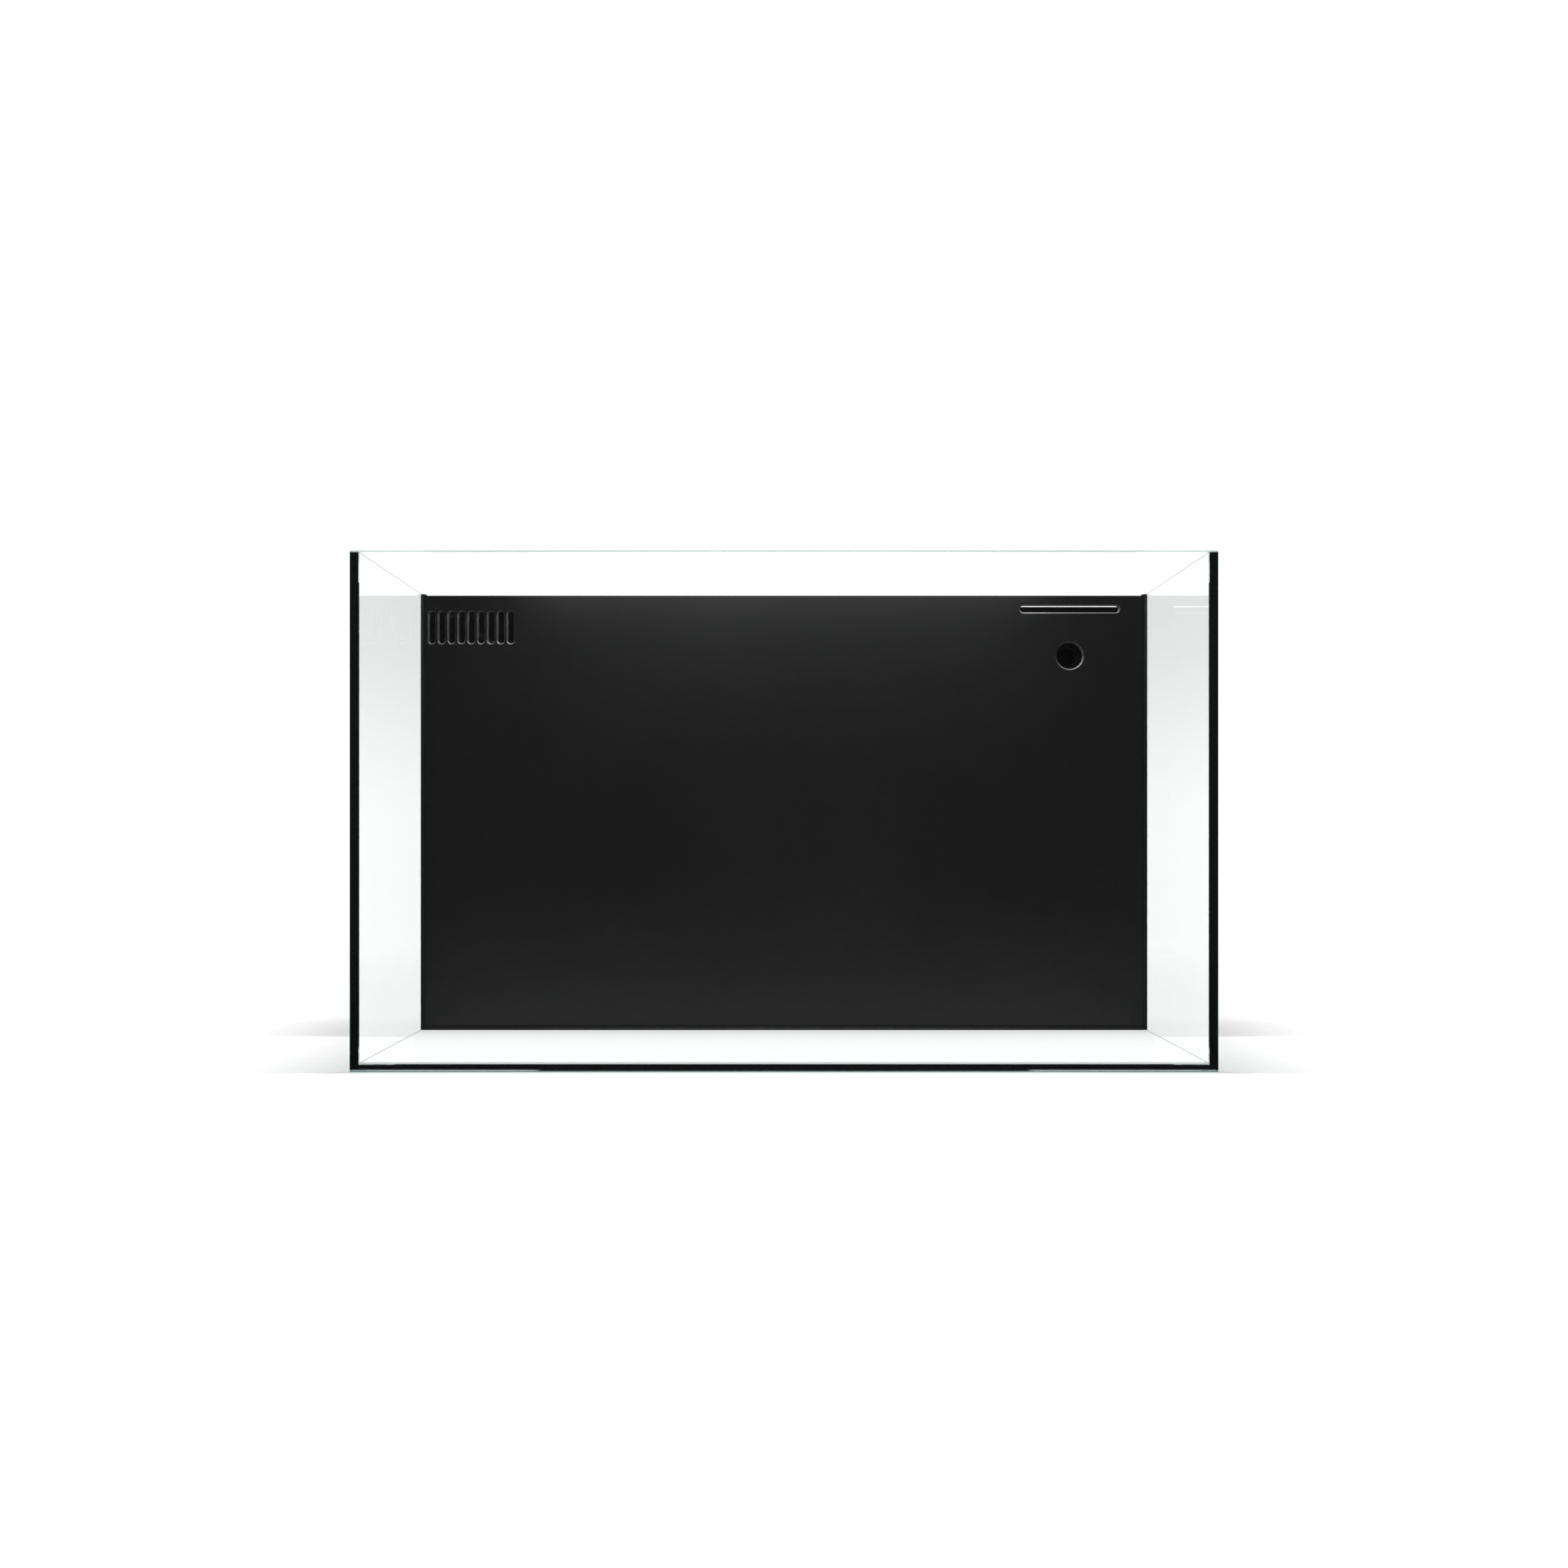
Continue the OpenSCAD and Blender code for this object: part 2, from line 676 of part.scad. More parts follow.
module pump_volute() {
    color("#1c1c1e") difference() {
        union() {
            rod_x(volute_x, motor_x, pump_y, pump_z, volute_d);
            rod_z(pump_z, outlet_top, return_x, hose_y, outlet_d);
            translate([0, pump_y, pump_z]) for (a = [45 : 90 : 315]) rotate([a, 0, 0]) {
                rod_x(motor_x - lug_t, motor_x, 0, screw_r, lug_d);
                span(motor_x - lug_t, motor_x, -lug_d / 4, lug_d / 4, volute_d / 2 - 2, screw_r - 2);
            }
        }
        rod_x(volute_x + volute_wall, motor_x + eps, pump_y, pump_z, chamber_d);
        rod_x(volute_x - eps, volute_x + volute_wall + eps, pump_y, pump_z, inlet_d);
        rod_z(pump_z, outlet_top + eps, return_x, hose_y, outlet_bore);
        translate([0, pump_y, pump_z]) for (a = [45 : 90 : 315]) rotate([a, 0, 0])
            rod_x(motor_x - lug_t - eps, motor_x + eps, 0, screw_r, screw_d);
    }
}

// Four pan-head screws through the lugs of the volute and the motor block
module volute_screws() {
    head_t = 2;
    color("silver") translate([0, pump_y, pump_z])
        for (a = [45 : 90 : 315]) rotate([a, 0, 0]) {
            rod_x(motor_x - lug_t, motor_x + lug_t, 0, screw_r, screw_d - 2 * running);
            difference() {
                rod_x(motor_x - lug_t - head_t, motor_x - lug_t, 0, screw_r, screw_d + 2.5);
                span(motor_x - lug_t - head_t - eps, motor_x - lug_t - head_t / 2,
                     -0.4, 0.4, screw_r - 2, screw_r + 2);
            }
        }
}

// A slotted cap over the inlet, with holes in its end that the dial opens
module pump_strainer() {
    cap_d = volute_d - 6;
    wall = 2;
    color("#1c1c1e") translate([0, pump_y, pump_z]) difference() {
        union() {
            rod_x(strainer_x, volute_x, 0, 0, cap_d);
            rod_x(dial_x - dial_head_t, strainer_x + eps, 0, 0, dial_boss_d);
            rod_x(dial_x - seat_gap - dial_head_t, dial_x - seat_gap, 0, 0, dial_boss_d + 3);
        }
        rod_x(strainer_x + wall, volute_x + eps, 0, 0, cap_d - 2 * wall);
        for (i = [0 : strainer_slots - 1]) rotate([i * 360 / strainer_slots, 0, 0])
            span(strainer_x + wall + 1, volute_x - 2, -1, 1, cap_d / 2 - wall - 1, cap_d / 2 + 1);
        for (i = [0 : dial_holes - 1]) rotate([i * 360 / dial_holes, 0, 0])
            rod_x(strainer_x - eps, strainer_x + wall + eps, 0, dial_hole_r, dial_hole_d);
    }
}

// The dial turns on the strainer's boss; its finger tab lies between two holes
module flow_dial() {
    color("#3a6ea5") translate([0, pump_y, pump_z]) difference() {
        union() {
            rod_x(dial_x, dial_x + dial_t, 0, 0, dial_d);
            span(dial_x - 3, dial_x + dial_t / 2, -1.2, 1.2, -dial_d / 2 + 1, -dial_boss_d);
        }
        rod_x(dial_x - eps, dial_x + dial_t + eps, 0, 0, dial_boss_d + 2 * running);
        for (i = [0 : dial_holes - 1]) rotate([i * 360 / dial_holes, 0, 0])
            rod_x(dial_x - eps, dial_x + dial_t + eps, 0, dial_hole_r, dial_hole_d);
    }
}

// A disc with straight blades and a sleeve that carries the magnet
module impeller() {
    disc_t = 1.5;
    blade_t = 1.4;
    x1 = impeller_x + blade_l;
    color("white") translate([0, pump_y, pump_z]) difference() {
        union() {
            rod_x(x1, x1 + disc_t, 0, 0, impeller_d);
            rod_x(impeller_x, motor_x + 2 + magnet_l + 1, 0, 0, hub_d);
            for (i = [0 : blades - 1]) rotate([i * 360 / blades, 0, 0])
                span(impeller_x, x1 + disc_t / 2, -blade_t / 2, blade_t / 2, hub_d / 2 - 1, impeller_d / 2 - 0.5);
        }
        rod_x(impeller_x - eps, motor_x + magnet_l + 4, 0, 0, shaft_d + 2 * running);
    }
}

module rotor_magnet() {
    color("dimgray") difference() {
        rod_x(motor_x + 2, motor_x + 2 + magnet_l, pump_y, pump_z, magnet_d);
        rod_x(motor_x + 2 - eps, motor_x + 2 + magnet_l + eps, pump_y, pump_z, hub_d + 2 * running);
    }
}

module impeller_shaft() {
    color("whitesmoke") rod_x(volute_x + 0.5, motor_x + well_l - 1, pump_y, pump_z, shaft_d);
}

// Rubber bushes that hold the shaft: a spider in the inlet and a disc in the well
module shaft_bushes() {
    x_end = motor_x + well_l;
    color("black") translate([0, pump_y, pump_z]) difference() {
        union() {
            rod_x(volute_x + 0.2, volute_x + volute_wall, 0, 0, 7);
            for (a = [0 : 120 : 240]) rotate([a, 0, 0])
                span(volute_x + 0.2, volute_x + volute_wall, -1, 1, 2.5, inlet_d / 2 - 0.05);
            rod_x(x_end - 2.5, x_end - 0.05, 0, 0, well_d - 2 * running);
        }
        rod_x(volute_x - eps, x_end - 1, 0, 0, shaft_d);
    }
}

// Four rubber cups between the motor block and the tank's floor
module suction_cups() {
    color("black")
        for (x = [motor_x + cup_inset, motor_x + motor_l - cup_inset],
             y = [pump_y - motor_w / 2 + cup_inset, pump_y + motor_w / 2 - cup_inset])
            translate([x, y, floor_z]) {
                cylinder(d1 = cup_d, d2 = cup_d * 0.45, h = cup_h * 0.6);
                cylinder(d = cup_d * 0.4, h = cup_h);
            }
}

module cable_gland() {
    z = pump_z + motor_w / 2;
    x = motor_x + motor_l - gland_d;
    color("black") difference() {
        union() {
            rod_z(z - 3, z, x, pump_y, gland_d);
            translate([x, pump_y, z]) cylinder(d1 = gland_d + 3, d2 = gland_d - 1, h = gland_h);
        }
        rod_z(z - 3 + 1, z + gland_h + eps, x, pump_y, lead_d);
    }
}

// A ribbed tube that grips the hose: l long from z, growing up or down
module ribbed_tail(z, l, up) {
    translate([return_x, hose_y, z]) mirror([0, 0, up ? 0 : 1]) {
        cylinder(d = tail_d - 1.4, h = l);
        for (i = [0 : 3])
            translate([0, 0, 2 + i * (l - 4) / 4]) cylinder(d1 = tail_d, d2 = tail_d - 1.5, h = (l - 6) / 4);
    }
}

module outlet_tail() {
    color("#1c1c1e") difference() {
        union() {
            rod_z(tail_z, tail_z + collar_h, return_x, hose_y, collar_d);
            ribbed_tail(tail_z + collar_h, tail_l, true);
        }
        rod_z(tail_z - eps, outlet_top, return_x, hose_y, outlet_d + 2 * running);
        rod_z(tail_z, tail_z + collar_h + tail_l + eps, return_x, hose_y, tail_bore);
    }
}

module return_hose() {
    color("#2a2a2a") difference() {
        rod_z(hose_z, hose_top, return_x, hose_y, hose_od);
        rod_z(hose_z - eps, hose_top + eps, return_x, hose_y, hose_bore);
    }
}

// Two worm-drive clips round the ends of the hose
module hose_clips() {
    color("silver")
        for (z = [hose_z + clip_in, hose_top - clip_in - clip_w])
            difference() {
                union() {
                    rod_z(z, z + clip_w, return_x, hose_y, hose_od + 2 * clip_t);
                    translate([return_x, hose_y + hose_od / 2 + 2, z + clip_w / 2])
                        cube([clip_lug * 1.6, clip_lug, clip_w - 1], center = true);
                    rod_x(return_x - clip_lug * 1.2, return_x + clip_lug, hose_y + hose_od / 2 + 2.6,
                          z + clip_w / 2, clip_w - 2);
                }
                rod_z(z - eps, z + clip_w + eps, return_x, hose_y, hose_od + 2 * running);
            }
}

// The elbow behind the return hole: a flange on the partition, a socket in line
// with the hole, and a tail that takes the hose
module return_elbow() {
    color("#1c1c1e") difference() {
        union() {
            rod_y(wall_back_y, wall_back_y + flange_t, return_x, return_z, flange_d);
            rod_y(wall_back_y, hose_y + elbow_reach, return_x, return_z, elbow_d);
            rod_z(elbow_tail_z, return_z, return_x, hose_y, elbow_leg_d);
            ribbed_tail(elbow_tail_z, tail_l, false);
        }
        rod_y(wall_back_y - eps, wall_back_y + socket_l, return_x, return_z, return_d);
        rod_y(wall_back_y, hose_y + elbow_reach - 3, return_x, return_z, tail_bore + 2);
        rod_z(elbow_tail_z - tail_l - eps, return_z, return_x, hose_y, tail_bore);
    }
}

front_pane();
rear_pane();
left_pane();
right_pane();
bottom_pane();
front_seam();
rear_seam();
left_seam();
right_seam();
rear_film();
left_film();
right_film();
false_wall();
wall_bead();
intake_baffle();
weir_baffle();
return_baffle();
intake_baffle_bead();
weir_baffle_bead();
return_baffle_bead();
basket_body();
basket_bail();
shelf_lower();
shelf_upper();
ceramic_rings();
carbon_bag();
floss_pad();
sponge_guides();
filter_sponge();
pump_motor();
pump_volute();
volute_screws();
pump_strainer();
flow_dial();
impeller();
rotor_magnet();
impeller_shaft();
shaft_bushes();
suction_cups();
cable_gland();
outlet_tail();
return_hose();
hose_clips();
return_elbow();
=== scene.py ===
import math

import bpy
import numpy as np
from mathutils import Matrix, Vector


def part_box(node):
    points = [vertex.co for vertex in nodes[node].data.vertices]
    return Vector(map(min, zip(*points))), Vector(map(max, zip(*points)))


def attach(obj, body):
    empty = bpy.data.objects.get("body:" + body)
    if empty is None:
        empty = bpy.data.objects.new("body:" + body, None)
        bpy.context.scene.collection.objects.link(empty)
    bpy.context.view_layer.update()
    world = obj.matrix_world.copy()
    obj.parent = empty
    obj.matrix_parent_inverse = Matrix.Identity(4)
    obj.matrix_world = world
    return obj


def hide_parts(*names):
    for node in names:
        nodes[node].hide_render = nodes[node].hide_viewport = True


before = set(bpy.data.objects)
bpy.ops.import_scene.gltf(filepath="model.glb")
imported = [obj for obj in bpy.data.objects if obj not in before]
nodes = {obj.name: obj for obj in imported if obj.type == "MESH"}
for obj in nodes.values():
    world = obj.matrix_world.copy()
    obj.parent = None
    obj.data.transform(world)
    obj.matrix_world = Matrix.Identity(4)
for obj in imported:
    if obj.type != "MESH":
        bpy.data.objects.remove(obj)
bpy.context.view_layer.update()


# ---------------------------------------------------------------- shader helpers

WHITE = (1.0, 1.0, 1.0, 1.0)


def new_material(name):
    """An empty node material, and its tree with only an output."""
    material = bpy.data.materials.new(name)
    material.use_nodes = True
    tree = material.node_tree
    tree.nodes.clear()
    tree.nodes.new("ShaderNodeOutputMaterial")
    return material, tree


def add(tree, kind, options=None, **inputs):
    """A node of one kind. Inputs are named with _ for a space, or by i and their number. A
    socket is linked to its input, and a plain value is set on it."""
    made = tree.nodes.new("ShaderNode" + kind)
    for key, value in (options or {}).items():
        setattr(made, key, value)
    for key, value in inputs.items():
        numbered = key[0] == "i" and key[1:].isdigit()
        socket = made.inputs[int(key[1:]) if numbered else key.replace("_", " ")]
        if isinstance(value, bpy.types.NodeSocket):
            tree.links.new(value, socket)
        else:
            socket.default_value = value
    return made


def finish_material(tree, surface):
    """Links a shader to the output."""
    tree.links.new(surface, tree.nodes["Material Output"].inputs["Surface"])


def calc(tree, operation, a, b=0.0, c=0.0, clamp=False):
    """One arithmetic step on two or three values or sockets."""
    options = {"operation": operation, "use_clamp": clamp}
    return add(tree, "Math", options, i0=a, i1=b, i2=c).outputs[0]


def product(tree, *values):
    """Some values multiplied together."""
    total = values[0]
    for value in values[1:]:
        total = calc(tree, "MULTIPLY", total, value)
    return total


def either(tree, *values):
    """The largest of some values."""
    total = values[0]
    for value in values[1:]:
        total = calc(tree, "MAXIMUM", total, value)
    return total


def reach(tree, a, b):
    """The length of the slope with sides a and b."""
    return calc(tree, "SQRT", calc(tree, "ADD", product(tree, a, a), product(tree, b, b)))


def place(tree):
    """The point on the surface, in the row frame, in metres."""
    return add(tree, "TexCoord").outputs["Object"]


def split(tree, vector):
    """The three parts of a vector."""
    made = add(tree, "SeparateXYZ", Vector=vector)
    return made.outputs[0], made.outputs[1], made.outputs[2]


def ramp(tree, value, low, high, to_low=0.0, to_high=1.0, smooth=True):
    """A value carried from one range to another, held at the ends."""
    options = {"interpolation_type": "SMOOTHSTEP" if smooth else "LINEAR"}
    made = add(tree, "MapRange", options, Value=value, From_Min=low, From_Max=high,
               To_Min=to_low, To_Max=to_high)
    return made.outputs["Result"]


def noise(tree, vector, scale, detail=3.0, rough=0.55):
    """Cloud noise from 0 to 1, with scale patches to the metre."""
    made = add(tree, "TexNoise", Vector=vector, Scale=scale, Detail=detail, Roughness=rough)
    return made.outputs["Fac"]


def blend(tree, factor, a, b):
    """A value between a and b."""
    return add(tree, "Mix", {"data_type": "FLOAT"}, Factor=factor, i2=a, i3=b).outputs[0]


def blend_colour(tree, factor, a, b):
    """A colour between a and b."""
    return add(tree, "Mix", {"data_type": "RGBA"}, Factor=factor, i6=a, i7=b).outputs[2]


def greyed(tree, level):
    """A grey of one level."""
    return add(tree, "CombineColor", i0=level, i1=level, i2=level).outputs[0]


def drifted(colour, low, high):
    """A colour times low, and the same colour times high."""
    return tuple(tuple(part * share for part in colour) + (1.0,) for share in (low, high))


def bumped(tree, height, distance):
    """A normal raised by a height from 0 to 1, distance metres at most."""
    return add(tree, "Bump", Height=height, Distance=distance).outputs["Normal"]


def switch(tree, factor, a, b):
    """A shader between a and b."""
    return add(tree, "MixShader", i0=factor, i1=a, i2=b).outputs[0]


def paint(node_names, material):
    """Gives CAD nodes one material."""
    for name in node_names:
        mesh = nodes[name].data
        mesh.materials.clear()
        mesh.materials.append(material)


# ---------------------------------------------------------------- shapes

CELLS = 32  # the random lattices repeat after this many cells
DENSE = 4001  # points on a curve before it is spaced evenly
TINY = 1e-12  # stands in for a length of zero where one is divided by


def lattice(shape, seed):
    """Seeded random numbers from 0 to 1."""
    return np.random.default_rng(seed).random(shape)


def cloud(points, size, seed):
    """Smooth noise from 0 to 1 at each point: random values on a lattice of cubes, size
    metres wide, blended by t*t*(3 - 2t) along each axis."""
    values = lattice((CELLS,) * 3, seed)
    at = points / size
    cell = np.floor(at).astype(int)
    t = at - cell
    t = t * t * (3 - 2 * t)
    total = np.zeros(points.shape[:-1])
    for corner in np.ndindex(2, 2, 2):
        share = np.prod(np.where(np.array(corner) == 1, t, 1 - t), axis=-1)
        i, j, k = np.moveaxis((cell + corner) % CELLS, -1, 0)
        total += share * values[i, j, k]
    return total


def grains(points, size, seed):
    """Distance to the nearest of the grains scattered one to a cube, size metres wide, as a
    share of size: 0 at a grain's middle and about 0.6 between grains."""
    centres = lattice((CELLS, CELLS, CELLS, 3), seed)
    at = points / size
    cell = np.floor(at).astype(int)
    nearest = np.full(points.shape[:-1], np.inf)
    for step in np.ndindex(3, 3, 3):
        near = cell + np.array(step) - 1
        i, j, k = np.moveaxis(near % CELLS, -1, 0)
        gap = np.linalg.norm(near + centres[i, j, k] - at, axis=-1)
        nearest = np.minimum(nearest, gap)
    return nearest


def normals(rings):
    """Unit normals of a grid of closed rings: the cross product of the step round a ring and
    the step from ring to ring."""
    around = np.roll(rings, -1, axis=1) - np.roll(rings, 1, axis=1)
    along = np.gradient(rings, axis=0)
    out = np.cross(around, along)
    return out / np.maximum(np.linalg.norm(out, axis=-1, keepdims=True), TINY)


def shell(name, grids, sharp=None):
    """One mesh of closed shells. Each grid is rings of points, lowest first and anticlockwise
    seen from above, and a middle point closes its first ring and its last. Edges that turn
    by more than sharp degrees stay sharp."""
    points, quads, fans, total = [], [], [], 0
    for rings in grids:
        rows, count = rings.shape[:2]
        k = np.arange(count)
        after = (k + 1) % count
        first = total + np.arange(rows - 1)[:, None] * count
        ring = [first + k, first + after, first + count + after, first + count + k]
        quads.append(np.stack(ring, -1).reshape(-1, 4))
        last = total + (rows - 1) * count
        low, high = total + rows * count, total + rows * count + 1
        fans.append(np.stack([np.full(count, low), total + after, total + k], -1))
        fans.append(np.stack([np.full(count, high), last + k, last + after], -1))
        points += [rings.reshape(-1, 3), rings[0].mean(0)[None], rings[-1].mean(0)[None]]
        total += rows * count + 2
    mesh = bpy.data.meshes.new(name)
    faces = np.concatenate(quads).tolist() + np.concatenate(fans).tolist()
    mesh.from_pydata(np.concatenate(points).tolist(), [], faces)
    mesh.shade_smooth()
    if sharp is not None:
        mesh.set_sharp_from_angle(angle=math.radians(sharp))
    piece = bpy.data.objects.new(name, mesh)
    bpy.context.scene.collection.objects.link(piece)
    return piece


def even(points, count, closed):
    """Points spaced evenly along a dense line of points. A closed line ends where it starts,
    so its last point is left out."""
    line = np.vstack([points, points[:1]]) if closed else points
    steps = np.linalg.norm(np.diff(line, axis=0), axis=1)
    run = np.concatenate([[0.0], np.cumsum(steps)])
    wanted = np.linspace(0.0, run[-1], count + closed)[:count]
    return np.stack([np.interp(wanted, run, line[:, c]) for c in range(line.shape[1])], -1)


def squared(part, power):
    """sign(v) * |v|^(2/power): a sine or cosine carried from a circle to a squarer curve."""
    return np.sign(part) * np.abs(part) ** (2 / power)


def soft_block(low, high, plan, side, around, rows):
    """Rings of a block with soft edges, between two corners. In plan it is the curve
    |x/a|^plan + |y/b|^plan = 1, shrunk at each height by s, where |s|^side + |z/c|^side = 1."""
    low, high = np.array(low, float), np.array(high, float)
    middle, half = (low + high) / 2, (high - low) / 2
    t = np.linspace(0.0, 2 * np.pi, DENSE)[:-1]
    outline = np.stack([half[0] * squared(np.cos(t), plan),
                        half[1] * squared(np.sin(t), plan)], -1)
    outline = even(outline, around, True)
    t = np.linspace(-np.pi / 2, np.pi / 2, DENSE)
    profile = np.stack([half[0] * squared(np.cos(t), side),
                        half[2] * squared(np.sin(t), side)], -1)
    profile = even(profile, rows + 2, False)[1:-1]
    shrink = profile[:, 0] / half[0]
    x = middle[0] + shrink[:, None] * outline[None, :, 0]
    y = middle[1] + shrink[:, None] * outline[None, :, 1]
    z = middle[2] + np.repeat(profile[:, 1:], around, axis=1)
    return np.stack([x, y, z], -1)


def sealed_edge(thick, leg, bond, steps):
    """Cross-section of a tooled silicone joint, thick being the sheet that it holds: two
    hollow fillets, each the quarter ellipse about (thick/2 + leg, bond + leg)."""
    a = np.linspace(-np.pi / 2, -np.pi, steps)
    right = np.stack([thick / 2 + leg + leg * np.cos(a), (bond + leg) * (1 + np.sin(a))], -1)
    left = right[::-1] * [-1, 1]
    return np.vstack([right, [[thick / 2, bond]], [[-thick / 2, bond]], left])


def sealed_corner(thick, leg, bond, steps):
    """Cross-section of a joint tooled on one side only: the bond under the sheet, and one
    hollow fillet in front of it."""
    a = np.linspace(-np.pi / 2, -np.pi, steps)
    hollow = np.stack([leg + leg * np.cos(a), (bond + leg) * (1 + np.sin(a))], -1)
    return np.vstack([hollow, [[0.0, bond]], [[-thick, bond]], [[-thick, 0.0]]])


WAVE, WAVE_SEED = 0.014, 3  # how long the waves are that a fingertip leaves in silicone


def swept(section, origin, across, out, along, length, rows, waver):
    """Rings of a section carried straight along a path: origin + across*u + out*v + along*s.
    Away from the glass, the surface wavers by up to half of waver, by smooth noise, as a
    finger-tooled joint does."""
    s = np.linspace(0.0, length, rows)
    origin, across, out, along = (np.array(v, float) for v in (origin, across, out, along))
    rings = (origin + section[None, :, :1] * across + section[None, :, 1:] * out
             + s[:, None, None] * along)
    off_glass = section[:, 1] > 1e-6
    sag = waver * cloud(rings, WAVE, WAVE_SEED) * off_glass[None, :]
    rings = rings - sag[..., None] * out * 0.5
    if np.dot(np.cross(across, out), along) < 0:
        rings = rings[:, ::-1]
    return rings


# ---------------------------------------------------------------- finishes

GLASS_IOR, ACRYLIC_IOR = 1.52, 1.49
WALL_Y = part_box("false_wall")[0].y
HALF_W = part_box("front_pane")[1].x
FRONT_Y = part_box("front_pane")[0].y
REAR_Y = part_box("rear_pane")[1].y
RIM_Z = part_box("front_pane")[1].z
RIM_DEEP = 0.001  # the rim's bevels and top lie within this of its height
GROUND = 0.85  # how much of the light the finely ground rim scatters
POLISHED = 0.9  # a pane's face is square to its axis where its normal's part is over this
SLOPED = 0.5  # a bevel or a top faces up or down by more than this
TRAPPED = 0.999  # the Fresnel share from which all the light is mirrored inside the glass
MID_LOW, MID_HIGH = 0.3, 0.7  # the part of its range where cloud noise mostly lies
WIDE_LOW, WIDE_HIGH = 0.2, 0.8  # a little more of that range


def aqua(deep, pale, green):
    """A deep and a pale aqua, drawn towards the grey of their red as green falls to 0."""
    return [tuple(c[0] + (v - c[0]) * green for v in c) + (1.0,) for c in (deep, pale)]


def glass(name, axis, mirror=1.0, green=1.0):
    """Clear float glass whose two polished faces are square to axis 0, 1 or 2.

    Sight lines bend by the glass's IOR, and are trapped where they meet a face too flat to
    leave, as in the ground edges. Lamp light passes straight on. The share 2R/(1+R) of the
    Fresnel share R, which two faces mirror together, is mirrored once, where light enters,
    and mirror scales it. The narrow edges are aqua, as glass is through its depth, and
    green is how strong that aqua is. The rim is finely ground, and so are the bevels of a
    pane that lies flat."""
    material, tree = new_material(name)
    where = place(tree)
    geometry = add(tree, "NewGeometry").outputs
    facing = split(tree, geometry["True Normal"])
    path = add(tree, "LightPath").outputs
    leaving = geometry["Backfacing"]
    entering = calc(tree, "SUBTRACT", 1.0, leaving)
    reflected = calc(tree, "SUBTRACT", path["Is Glossy Ray"], path["Is Transmission Ray"],
                     clamp=True)
    straight = either(tree, path["Is Shadow Ray"], path["Is Diffuse Ray"], reflected)
    share = add(tree, "Fresnel", IOR=GLASS_IOR).outputs[0]
    both = calc(tree, "DIVIDE", product(tree, share, 2.0), calc(tree, "ADD", share, 1.0))
    mirrored = product(tree, both, entering, mirror)
    trapped = product(tree, leaving, calc(tree, "GREATER_THAN", share, TRAPPED),
                      calc(tree, "SUBTRACT", 1.0, straight))

    rim = calc(tree, "LESS_THAN", calc(tree, "ABSOLUTE", facing[axis]), POLISHED)
    deep = aqua((0.56, 0.76, 0.74), (0.66, 0.83, 0.81), green)
    edge = blend_colour(tree, noise(tree, where, 40.0, 2.0), *deep)
    tint = blend_colour(tree, rim, (0.996, 0.999, 0.998, 1.0), edge)
    clear = add(tree, "BsdfTransparent", Color=tint).outputs[0]
    bent = add(tree, "BsdfRefraction", Color=tint, Roughness=0.0, IOR=GLASS_IOR).outputs[0]
    sheen = blend_colour(tree, rim, WHITE, (0.82, 0.93, 0.92, 1.0))
    gloss = add(tree, "BsdfGlossy", Color=sheen, Roughness=0.0).outputs[0]
    body = switch(tree, straight, bent, clear)
    whole = switch(tree, either(tree, mirrored, trapped), body, gloss)

    sloped = calc(tree, "GREATER_THAN", calc(tree, "ABSOLUTE", facing[2]), SLOPED)
    if axis == 2:
        top = product(tree, rim, sloped)
    else:
        high = calc(tree, "GREATER_THAN", split(tree, where)[2], RIM_Z - RIM_DEEP)
        top = product(tree, high, sloped)
    grit = noise(tree, where, 2500.0, 2.0)
    pale = blend_colour(tree, grit, *aqua((0.74, 0.86, 0.85), (0.84, 0.93, 0.92), green))
    ground = switch(tree, 0.5, add(tree, "BsdfDiffuse", Color=pale).outputs[0],
                    add(tree, "BsdfTranslucent", Color=pale).outputs[0])
    finish_material(tree, switch(tree, product(tree, top, GROUND), whole, ground))
    return material


def plastic(name, colour, rough, grain, depth, spread=0.15, specular=0.5, speckle=0.0):
    """Moulded or cast plastic: one colour that drifts a little, and a fine grain.

    grain is the grain's size in metres and depth its height; spread is how far the colour
    and roughness drift, and speckle how much paler the finest specks are."""
    material, tree = new_material(name)
    where = place(tree)
    drift = noise(tree, where, 9.0, 2.0)
    fine = noise(tree, where, 1.0 / grain, 4.0, 0.6)
    flow = noise(tree, where, 60.0, 3.0, 0.6)
    base = blend_colour(tree, drift, *drifted(colour, 1 - spread, 1 + spread))
    if speckle:
        pale = tuple(min(1.0, c * (1 + speckle)) for c in colour) + (1.0,)
        base = blend_colour(tree, ramp(tree, fine, 0.58, 0.75, 0.0, 0.7), base, pale)
    height = calc(tree, "ADD", product(tree, flow, 0.4), product(tree, fine, 0.6))
    roughness = ramp(tree, flow, MID_LOW, MID_HIGH, rough * (1 - spread), rough * (1 + spread))
    shader = add(tree, "BsdfPrincipled", Base_Color=base, Roughness=roughness,
                 Specular_IOR_Level=specular, Normal=bumped(tree, height, depth))
    finish_material(tree, shader.outputs[0])
    return material


